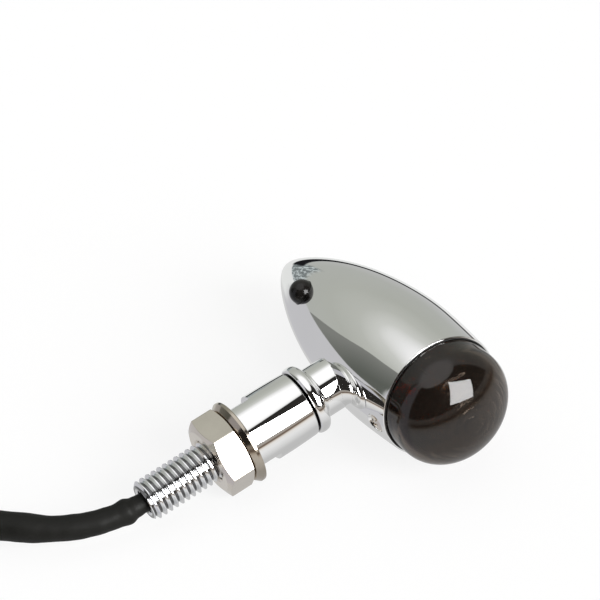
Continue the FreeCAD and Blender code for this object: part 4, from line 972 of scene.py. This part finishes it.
# end caps: fans over the ragged helical ends, outside what is kept
loop0 = [vid[0, j] for j in range(NA)] + [vid[i, 0] for i in range(NS, 0, -1)]
loop1 = [vid[n_rows, j] for j in range(NA - 1, -1, -1)] + [vid[n_rows - i, NA - 1] for i in range(0, 0)]
t0 = [(cap0, loop0[k], loop0[(k + 1) % len(loop0)]) for k in range(len(loop0))]
ring1 = [vid[n_rows, j] for j in range(NA)]
side = [vid[n_rows - i, NA - 1] for i in range(1, NS + 1)]
loop1 = ring1 + side
t1 = [(cap0 + 1, loop1[(k + 1) % len(loop1)], loop1[k]) for k in range(len(loop1))]
rod = write_mesh("threaded_stud_body", Vt, [F_, np.array(t0 + t1)])
fix_winding(rod)
env = lathe("env", [(-26.0, 0), (-26.0, 4.05), (-25.15, 4.92), (-10.25, 4.95), (-10.15, 4.75), (0.0, 4.75), (0.0, 0)], 160, STEM)
boolean(rod, [env], "INTERSECT")
head = lathe("head", [(-0.4, 0), (-0.4, 3.9), (0.0, 3.9), (0.0, 6.15), (0.06, 6.2), (4.94, 6.2), (5.0, 6.14), (5.0, 0)], 160, STEM)
boolean(rod, [head], "UNION")
bore = lathe("bore", [(-27.0, 0), (-27.0, 4.25), (-25.65, 2.9), (4.2, 2.9), (5.3, 4.0), (5.3, 0)], 128, STEM)
boolean(rod, [bore])
tidy(rod)
for p in rod.data.polygons:
    p.use_smooth = True
rod.data.set_sharp_from_angle(angle=math.radians(24))
piece(rod, "stem", "zinc_steel", "threaded_stud")
# painted shade: the thread's roots are darkened, fully below radius 4.0 mm and fading out by 4.2 mm
use_painted_shade_copy(rod, shade("zinc_thread_painted_root_shade", "zinc_bright", (0.20, 0.20, 0.20), lambda x, r: (1.0 - r.step(4.00, 4.20)) * r.step(3.2, 3.5)))

# =====================================================================
# cable sheath
# =====================================================================
LINE = [(-16.0000, 0.0000, 0.0000), (-17.1950, 0.0057, 0.0047), (-18.3900, 0.0050, 0.0046), (-19.5851, 0.0013, 0.0014), (-20.7801, -0.0019, -0.0028), (-21.9751, -0.0019, -0.0066), (-23.1701, 0.0033, -0.0088), (-24.3651, 0.0162, -0.0080), (-25.5599, 0.0388, -0.0031), (-26.7544, 0.0736, 0.0073), (-27.9481, 0.1259, 0.0262), (-29.1401, 0.2035, 0.0578), (-30.3290, 0.3138, 0.1062), (-31.5127, 0.4631, 0.1740), (-32.6893, 0.6536, 0.2586), (-33.8571, 0.8868, 0.3571), (-35.0141, 1.1634, 0.4703), (-36.1578, 1.4834, 0.6024), (-37.2857, 1.8464, 0.7573), (-38.3972, 2.2482, 0.9336), (-39.4941, 2.6816, 1.1255), (-40.5789, 3.1404, 1.3279), (-41.6515, 3.6233, 1.5384), (-42.7100, 4.1330, 1.7568), (-43.7524, 4.6719, 1.9829), (-44.7758, 5.2421, 2.2184), (-45.7773, 5.8451, 2.4659), (-46.7538, 6.4821, 2.7277), (-47.7061, 7.1497, 3.0025), (-48.6379, 7.8419, 3.2865), (-49.5533, 8.5534, 3.5760), (-50.4560, 9.2803, 3.8671), (-51.3491, 10.0201, 4.1557), (-52.2356, 10.7702, 4.4377), (-53.1188, 11.5273, 4.7111), (-54.0021, 12.2874, 4.9760), (-54.8888, 13.0464, 5.2325), (-55.7811, 13.8015, 5.4811), (-56.6790, 14.5522, 5.7224), (-57.5828, 15.2979, 5.9573), (-58.4924, 16.0384, 6.1865), (-59.4078, 16.7730, 6.4106), (-60.3293, 17.5015, 6.6305), (-61.2568, 18.2233, 6.8470), (-62.1908, 18.9375, 7.0606), (-63.1317, 19.6432, 7.2720), (-64.0800, 20.3395, 7.4820), (-65.0360, 21.0254, 7.6911), (-66.0000, 21.7000, 7.9000)]
SHEATH_LEN = 57.3615
RADII = [(0.0, 2.25), (10.6, 2.25), (12.2, 2.42), (14.2, 3.02), (16.6, 2.74), (22.0, 2.84), (30.0, 2.92), (37.0, 3.35), (90.0, 3.35)]


def sheath_r(s):
    s = np.asarray(s, float)
    out = np.full(s.shape, RADII[-1][1])
    for (a_, ra), (b_, rb) in reversed(list(zip(RADII, RADII[1:]))):
        m_ = s <= b_
        k_ = np.clip((s - a_) / (b_ - a_), 0, 1)
        k_ = k_ * k_ * (3 - 2 * k_)
        out = np.where(m_, ra + (rb - ra) * k_, out)
    return out


NSH, NTH = 330, 96
line = cubic(LINE, NSH)
tan = np.gradient(line, axis=0)
tan /= np.linalg.norm(tan, axis=1)[:, None]
up0 = np.array([0.0, -0.42, 0.9])
s_at = np.concatenate([[0], np.cumsum(np.linalg.norm(np.diff(line, axis=0), axis=1))])
tt_ = np.arange(NTH) * TAU / NTH
SS, TT = np.meshgrid(s_at, tt_, indexing="ij")
R0 = sheath_r(SS)
free = np.clip((SS - 11.5) / 3.0, 0, 1)
rng = np.random.RandomState(7)
wr = np.zeros_like(SS)
for k in range(26):
    fs, ft = rng.uniform(0.25, 1.9), rng.randint(0, 5)
    wr += rng.uniform(-1, 1) / (1 + fs * 1.1) * np.cos(fs * SS + ft * TT + rng.uniform(0, TAU))
oval = 0.055 * np.cos(2 * (TT - 0.4 + 0.02 * SS))
folds = 0.07 * np.exp(-((SS - 19.0) / 1.0) ** 2) * np.cos(TT - 2.0) - 0.06 * np.exp(-((SS - 24.5) / 1.3) ** 2) * np.cos(TT - 1.2) \
    + 0.06 * np.exp(-((SS - 31.0) / 1.6) ** 2) * np.cos(TT + 0.6)
R1 = R0 + free * (0.030 * wr + oval + folds)
B1, B2 = [], []
for k in range(NSH):
    u_ = up0 - tan[k] * (up0 @ tan[k])
    u_ /= np.linalg.norm(u_)
    B1.append(u_)
    B2.append(np.cross(tan[k], u_))
B1, B2 = np.array(B1), np.array(B2)


def tube_ring(k, radius):
    return line[k] + np.outer(np.cos(tt_) * radius, B1[k]) + np.outer(np.sin(tt_) * radius, B2[k])


rings = [tube_ring(k, R1[k]) for k in range(NSH)]
wall = 0.38
endk = NSH - 1
rings.append(tube_ring(endk, R1[endk] - 0.06) + tan[endk] * 0.05)
rings.append(tube_ring(endk, R1[endk] - wall + 0.06) + tan[endk] * 0.05)
for k in range(NSH - 1, -1, -3):
    rings.append(tube_ring(k, R1[k] - wall))
if (NSH - 1) % 3:
    rings.append(tube_ring(0, R1[0] - wall))
rings = np.array(rings)
K_ = len(rings)
vid = np.arange(K_ * NTH).reshape(K_, NTH)
f = np.concatenate([np.stack([vid[k], vid[(k + 1) % K_], np.roll(vid[(k + 1) % K_], -1), np.roll(vid[k], -1)], 1) for k in range(K_)])
sheath = write_mesh("cable_sheath_body", rings.reshape(-1, 3), [f])
fix_winding(sheath)
sheath.data.set_sharp_from_angle(angle=math.radians(40))
piece(sheath, "stem", "black_pvc", "cable_sheath")

# =====================================================================
# lead ends: bullet plugs and their sleeves
# =====================================================================
PLUGS = {"live": ((-0.773392, 0.432614, 0.463368), (-77.659, 28.2642, 14.6472)),
         "earth": ((-0.733801, 0.669995, -0.11244), (-77.0921, 31.6634, 6.4021))}
for who, (ax, org) in PLUGS.items():
    Fp = frame_of(org, ax)
    tp = clean_profile([(1.03, 0), (1.03, 1.30), (3.2, 1.30), (3.2, 1.70), (4.0, 1.70), (4.0, 1.30), (5.4, 1.30), (5.4, 1.95), (13.6, 1.95),
                        (14.75, 1.0), (15.0, 0.4), (15.0, 0)], fillet=0.14, keep=(0, 11))
    ob = lathe(who + "_terminal_body", subdivide(tp, 0.7), 96, Fp)
    piece(ob, "stem", "terminal_brass", who + "_terminal")
    sp = clean_profile([(-4.0, 0.83), (-4.0, 1.85), (-2.6, 2.75), (5.3, 2.75), (5.3, 2.0), (1.0, 2.0), (0.0, 0.83)], fillet=0.16)
    sp = subdivide(sp, 0.5)
    ob = lathe(who + "_sleeve_body", sp, 96, Fp)
    piece(ob, "stem", "clear_black_sleeve", who + "_terminal_sleeve")

# =====================================================================
# bulb glass and reflector, seen through the lens
# =====================================================================
gr, gy, gt = 9.10, -16.60, 0.70
nr, ny = 7.12, -6.40


def bulb_line(o_):
    g_ = gr - o_
    n_ = nr - o_
    pts = [(gy + g_ * math.cos(math.radians(180 - k * 6.6)), g_ * math.sin(math.radians(180 - k * 6.6))) for k in range(19)]
    pts += [(ny - 0.6, n_ + 0.10), (ny + 1.2, n_), (ny + 4.0, n_)]
    return pts


lo_ = bulb_line(0.0)
li_ = bulb_line(gt)
o_mirror = [(s_, -r_) for s_, r_ in lo_[3:0:-1]]
outer_b = cubic(o_mirror + lo_, 150)
outer_b = outer_b[outer_b[:, 1] > 0.06]
i_mirror = [(s_, -r_) for s_, r_ in li_[3:0:-1]]
inner_b = cubic(i_mirror + li_[:-1], 120)
inner_b = inner_b[inner_b[:, 1] > 0.06]
bp = [(gy - gr, 0.0)] + [tuple(p) for p in outer_b] + [(ny + 4.0, 0.0), (inner_b[-1][0], 0.0)] + [tuple(p) for p in inner_b[::-1]] + [(gy - gr + gt, 0.0)]
bulb = lathe("bulb_glass_body", np.array(bp), 128, HEAD)
piece(bulb, "bulb", "amber_glass", "bulb_glass")

tr_ = 0.55
rp = clean_profile([(SY, 11.85), (SY, 13.28), (-14.9, 13.28), (-14.9, 11.85 + tr_), (-3.2 + tr_, 8.45 + tr_), (0.6, 8.45 + tr_), (0.6, 8.45), (-3.2, 8.45)],
                   {3: (26.0, 1), 7: (26.0, -1)}, fillet=0.08, steps=1.5)
refl = lathe("reflector_bowl", subdivide(rp, 0.8), 192, HEAD)
piece(refl, "head", "bright_reflector", "reflector")

# =====================================================================
# CAD nodes that stay: their finishes
# =====================================================================
FINISH = {
    "thrust_washer": "spring_steel", "live_wire": "orange_wire", "earth_wire": "black_wire", "neck_nut": "zinc_steel",
    "swivel_oring": "black_rubber", "spring_washer": "spring_steel", "circlip": "spring_steel", "bulb_socket": "plated_brass",
    "socket_insulator": "phenolic", "socket_spring": "spring_steel", "jewel_ring": "spring_steel", "live_lead": "orange_wire",
    "earth_lead": "black_wire", "earth_tag": "terminal_brass", "bulb_base": "plated_brass", "bulb_insulator": "black_glass",
    "bulb_contact": "solder", "bulb_filament": "tungsten",
}
for node, slot_ in FINISH.items():
    o = CAD[node]
    o.data.materials.clear()
    o.data.materials.append(M[slot_])

# ===================================================================== stage: floor, studio surround with its dark areas, camera
# stage: floor, studio surround, a dark flag, camera
# =====================================================================
NRM = Vector((0.125, -0.105, 0.986)).normalized()
low = min(float(np.min(np.array([tuple(v.co) for v in CAD[n].data.vertices]) @ np.array(NRM)))
          for n in ("housing_shell", "hex_nut", "flat_washer", "barrel", "lens"))
floor_d = low - 0.00005
cx = Vector((0.005, 0.0, 0.0))
centre = cx - NRM * (cx.dot(NRM) - floor_d)
fm = bpy.data.meshes.new("studio_floor")
bm = bmesh.new()
bmesh.ops.create_circle(bm, cap_ends=True, segments=96, radius=0.32)
bm.to_mesh(fm)
bm.free()
floor = bpy.data.objects.new("studio_floor", fm)
scene.collection.objects.link(floor)
floor.matrix_world = Matrix.Translation(centre) @ NRM.to_track_quat("Z", "Y").to_matrix().to_4x4()
fmat, t, b = new_material("floor_paper")
n1 = noise(t, object_coords(t), 14.0, 3.0)
col = mix_colour(t, n1, (0.80, 0.80, 0.795), (0.83, 0.83, 0.825))
put(t, b.inputs["Base Color"], col)
b.inputs["Roughness"].default_value = 0.9
b.inputs["Specular IOR Level"].default_value = 0.0
geo = t.nodes.new("ShaderNodeNewGeometry")
tcn = t.nodes.new("ShaderNodeTexCoord")
ln = t.nodes.new("ShaderNodeVectorMath")
ln.operation = "LENGTH"
t.links.new(tcn.outputs["Object"], ln.inputs[0])
far = Val(t, ln.outputs["Value"]).step(0.17, 0.30)
hide = far.maximum(Val(t, geo.outputs["Backfacing"]))
trn = t.nodes.new("ShaderNodeBsdfTransparent")
mx = t.nodes.new("ShaderNodeMixShader")
t.links.new(hide.s, mx.inputs[0])
lpf = t.nodes.new("ShaderNodeLightPath")
lift = t.nodes.new("ShaderNodeEmission")
lift.inputs["Color"].default_value = (1.0, 1.0, 1.0, 1.0)
mlift = t.nodes.new("ShaderNodeMixShader")
t.links.new((Val(t, lpf.outputs["Is Camera Ray"]) * 0.86).s, mlift.inputs[0])
t.links.new(b.outputs[0], mlift.inputs[1])
t.links.new(lift.outputs[0], mlift.inputs[2])
t.links.new(mlift.outputs[0], mx.inputs[1])
t.links.new(trn.outputs[0], mx.inputs[2])
t.links.new(mx.outputs[0], t.nodes["Material Output"].inputs["Surface"])
fm.materials.append(fmat)
floor.visible_glossy = False
floor.visible_transmission = False

# studio surround, by direction
world = bpy.data.worlds.new("studio")
scene.world = world
world.use_nodes = True
t = world.node_tree
for n in list(t.nodes):
    t.nodes.remove(n)
tc = t.nodes.new("ShaderNodeTexCoord")
sp_ = t.nodes.new("ShaderNodeSeparateXYZ")
t.links.new(tc.outputs["Generated"], sp_.inputs[0])
dx, dy, dz = (Val(t, sp_.outputs[i]) for i in range(3))
az = dy._m("ARCTAN2", dx) * (180.0 / math.pi)
el = dz.minimum(1.0).maximum(-1.0)._m("ARCSINE") * (180.0 / math.pi)


def ramp(tree, fac, stops):
    n = tree.nodes.new("ShaderNodeValToRGB")
    put(tree, n.inputs[0], fac)
    e = n.color_ramp.elements
    while len(e) > 1:
        e.remove(e[-1])
    for i, (pos, c) in enumerate(stops):
        x = e[0] if i == 0 else e.new(pos)
        x.position = pos
        x.color = (c[0], c[1], c[2], 1)
    return n.outputs[0]


def g(v, warm=0.0):
    return (v, v * (1 - 0.25 * warm), v * (1 - 0.5 * warm))


def pos(e_):
    return (e_ + 90.0) / 180.0


ef = el.remap(-90.0, 90.0, 0.0, 1.0)
far_side = ramp(t, ef, [(pos(-90), g(0.52)), (pos(-55), g(0.58)), (pos(-32), g(0.66)), (pos(-15), (0.50, 0.505, 0.50)), (pos(0), (0.450, 0.462, 0.435)),
                        (pos(25), (0.445, 0.458, 0.420)), (pos(40), (0.500, 0.512, 0.475)), (pos(50), (0.62, 0.63, 0.60)), (pos(57), g(0.90)), (pos(64), g(1.12)),
                        (pos(90), g(1.12))])
near_side = ramp(t, ef, [(pos(-90), g(0.52)), (pos(-60), g(0.56)), (pos(-46), g(0.70)), (pos(-36), g(0.78)), (pos(-28), g(0.84)), (pos(-18), g(0.84, 0.12)),
                         (pos(-13), (0.60, 0.54, 0.47)), (pos(-11.2), (0.22, 0.17, 0.13)), (pos(-7.5), (0.13, 0.09, 0.07)), (pos(-5.2), (0.36, 0.32, 0.28)),
                         (pos(2), (0.43, 0.40, 0.37)), (pos(56), g(0.50)), (pos(61), g(1.0)), (pos(66), g(1.12)), (pos(90), g(1.12))])
side_mix = dy.remap(-0.25, 0.25, 1.0, 0.0).maximum(0.0).minimum(1.0)
colr = mix_colour(t, side_mix, far_side, near_side)
# pale lavender wall beyond the tip, and the level strip under the panel
colr = mix_colour(t, az.band(147.0, 181.0, 0.8) * el.band(-60.0, 50.0, 6.0), colr, (0.545, 0.54, 0.585))
colr = mix_colour(t, az.band(93.0, 148.0, 4.0) * el.band(-40.0, 4.0, 0.9), colr, (0.560, 0.558, 0.578))
# grey-green panel: its upper edge is a straight line, its lower edge a level one
top = (az - 116.0) * 1.62 + 8.5
panel = ((top - el).step(-0.6, 0.6)) * el.step(3.4, 4.6) * az.band(112.0, 146.6, 0.6)
colr = mix_colour(t, panel, colr, mix_colour(t, (az + el * -0.4).remap(118.0, 138.0, 0.0, 1.0), (0.215, 0.220, 0.205), (0.110, 0.118, 0.104)))
# darker blue-grey corner with fine sparkle, seen only in the tip
corner = az.band(74.0, 99.0, 2.0) * el.band(-13.0, 8.5, 2.5)
fleck = noise(t, tc.outputs["Generated"], 24.0, 4.0, 0.7)
colr = mix_colour(t, corner * 0.9, colr, mix_colour(t, fleck.step(0.46, 0.60), (0.15, 0.175, 0.18), (0.60, 0.66, 0.67)))
# pale paper right behind the object, closed by a thin dark line
VUP = (0.505, 0.459, 0.731)
upness = dx * VUP[0] + dy * VUP[1] + dz * VUP[2]
above = upness.step(0.0, 0.10) * az.band(24.0, 100.0, 4.0)
rail = (az - 46.0) * 0.43 - 22.0
off_rail = el - rail
colr = mix_colour(t, above * (1.0 - off_rail.step(-2.5, -1.5)), colr, (0.80, 0.81, 0.80))
thick = (az - 58.0).maximum(0.0) * 0.26 + 2.4
line_ = off_rail.step(-4.2, -2.6) * (thick - off_rail).step(-0.9, 0.9) * (1.0 - az.step(76.5, 80.0))
colr = mix_colour(t, above * line_, colr, (0.012, 0.012, 0.014))
# dark surround of the soft box, and the box itself, a leaning four-sided panel
dk = az.band(-182.0, -14.0, 3.0) * el.band(2.2, 58.0, 1.0)
colr = mix_colour(t, dk, colr, (0.026, 0.024, 0.022))
box_ = ((az + 78.5) * -0.875 + 50.6 - el).step(-0.7, 0.7)
box_ = box_ * ((el - 21.8) * 0.65 - 45.8 - az).step(-0.7, 0.7)
box_ = box_ * (az + 94.9 - (el - 10.2) * 0.406).step(-0.7, 0.7)
box_ = box_ * (el + (az + 94.9) * 0.334 - 10.2).step(-0.7, 0.7)
lpw = t.nodes.new("ShaderNodeLightPath")
cam_ray = Val(t, lpw.outputs["Is Camera Ray"])
soft = mix_colour(t, box_, colr, (13.0, 13.0, 13.0))
final = mix_colour(t, cam_ray, soft, (1.0, 1.0, 1.0))
bg = t.nodes.new("ShaderNodeBackground")
t.links.new(final, bg.inputs["Color"])
bg.inputs["Strength"].default_value = 1.0
ow = t.nodes.new("ShaderNodeOutputWorld")
t.links.new(bg.outputs[0], ow.inputs["Surface"])

# camera at the reference view
cam = bpy.data.cameras.new("camera")
cam.sensor_width = 36.0
cam.lens = 151.8
cam.clip_start, cam.clip_end = 0.01, 20.0
camo = bpy.data.objects.new("camera", cam)
scene.collection.objects.link(camo)
cxv, cyv = Vector((0.8143, -0.5340, -0.2273)).normalized(), Vector((0.505, 0.459, 0.731))
czv = cxv.cross(cyv).normalized()
cyv = czv.cross(cxv).normalized()
rot = Matrix((cxv, cyv, czv)).transposed()
camo.matrix_world = Matrix.Translation((-0.13407, -0.39090, 0.38069)) @ rot.to_4x4()
scene.camera = camo
scene.view_settings.view_transform = "Standard"
scene.view_settings.look = "None"
scene.cycles.caustics_reflective = False
scene.cycles.caustics_refractive = False
scene.cycles.max_bounces = 16
scene.cycles.transmission_bounces = 12
scene.cycles.glossy_bounces = 8
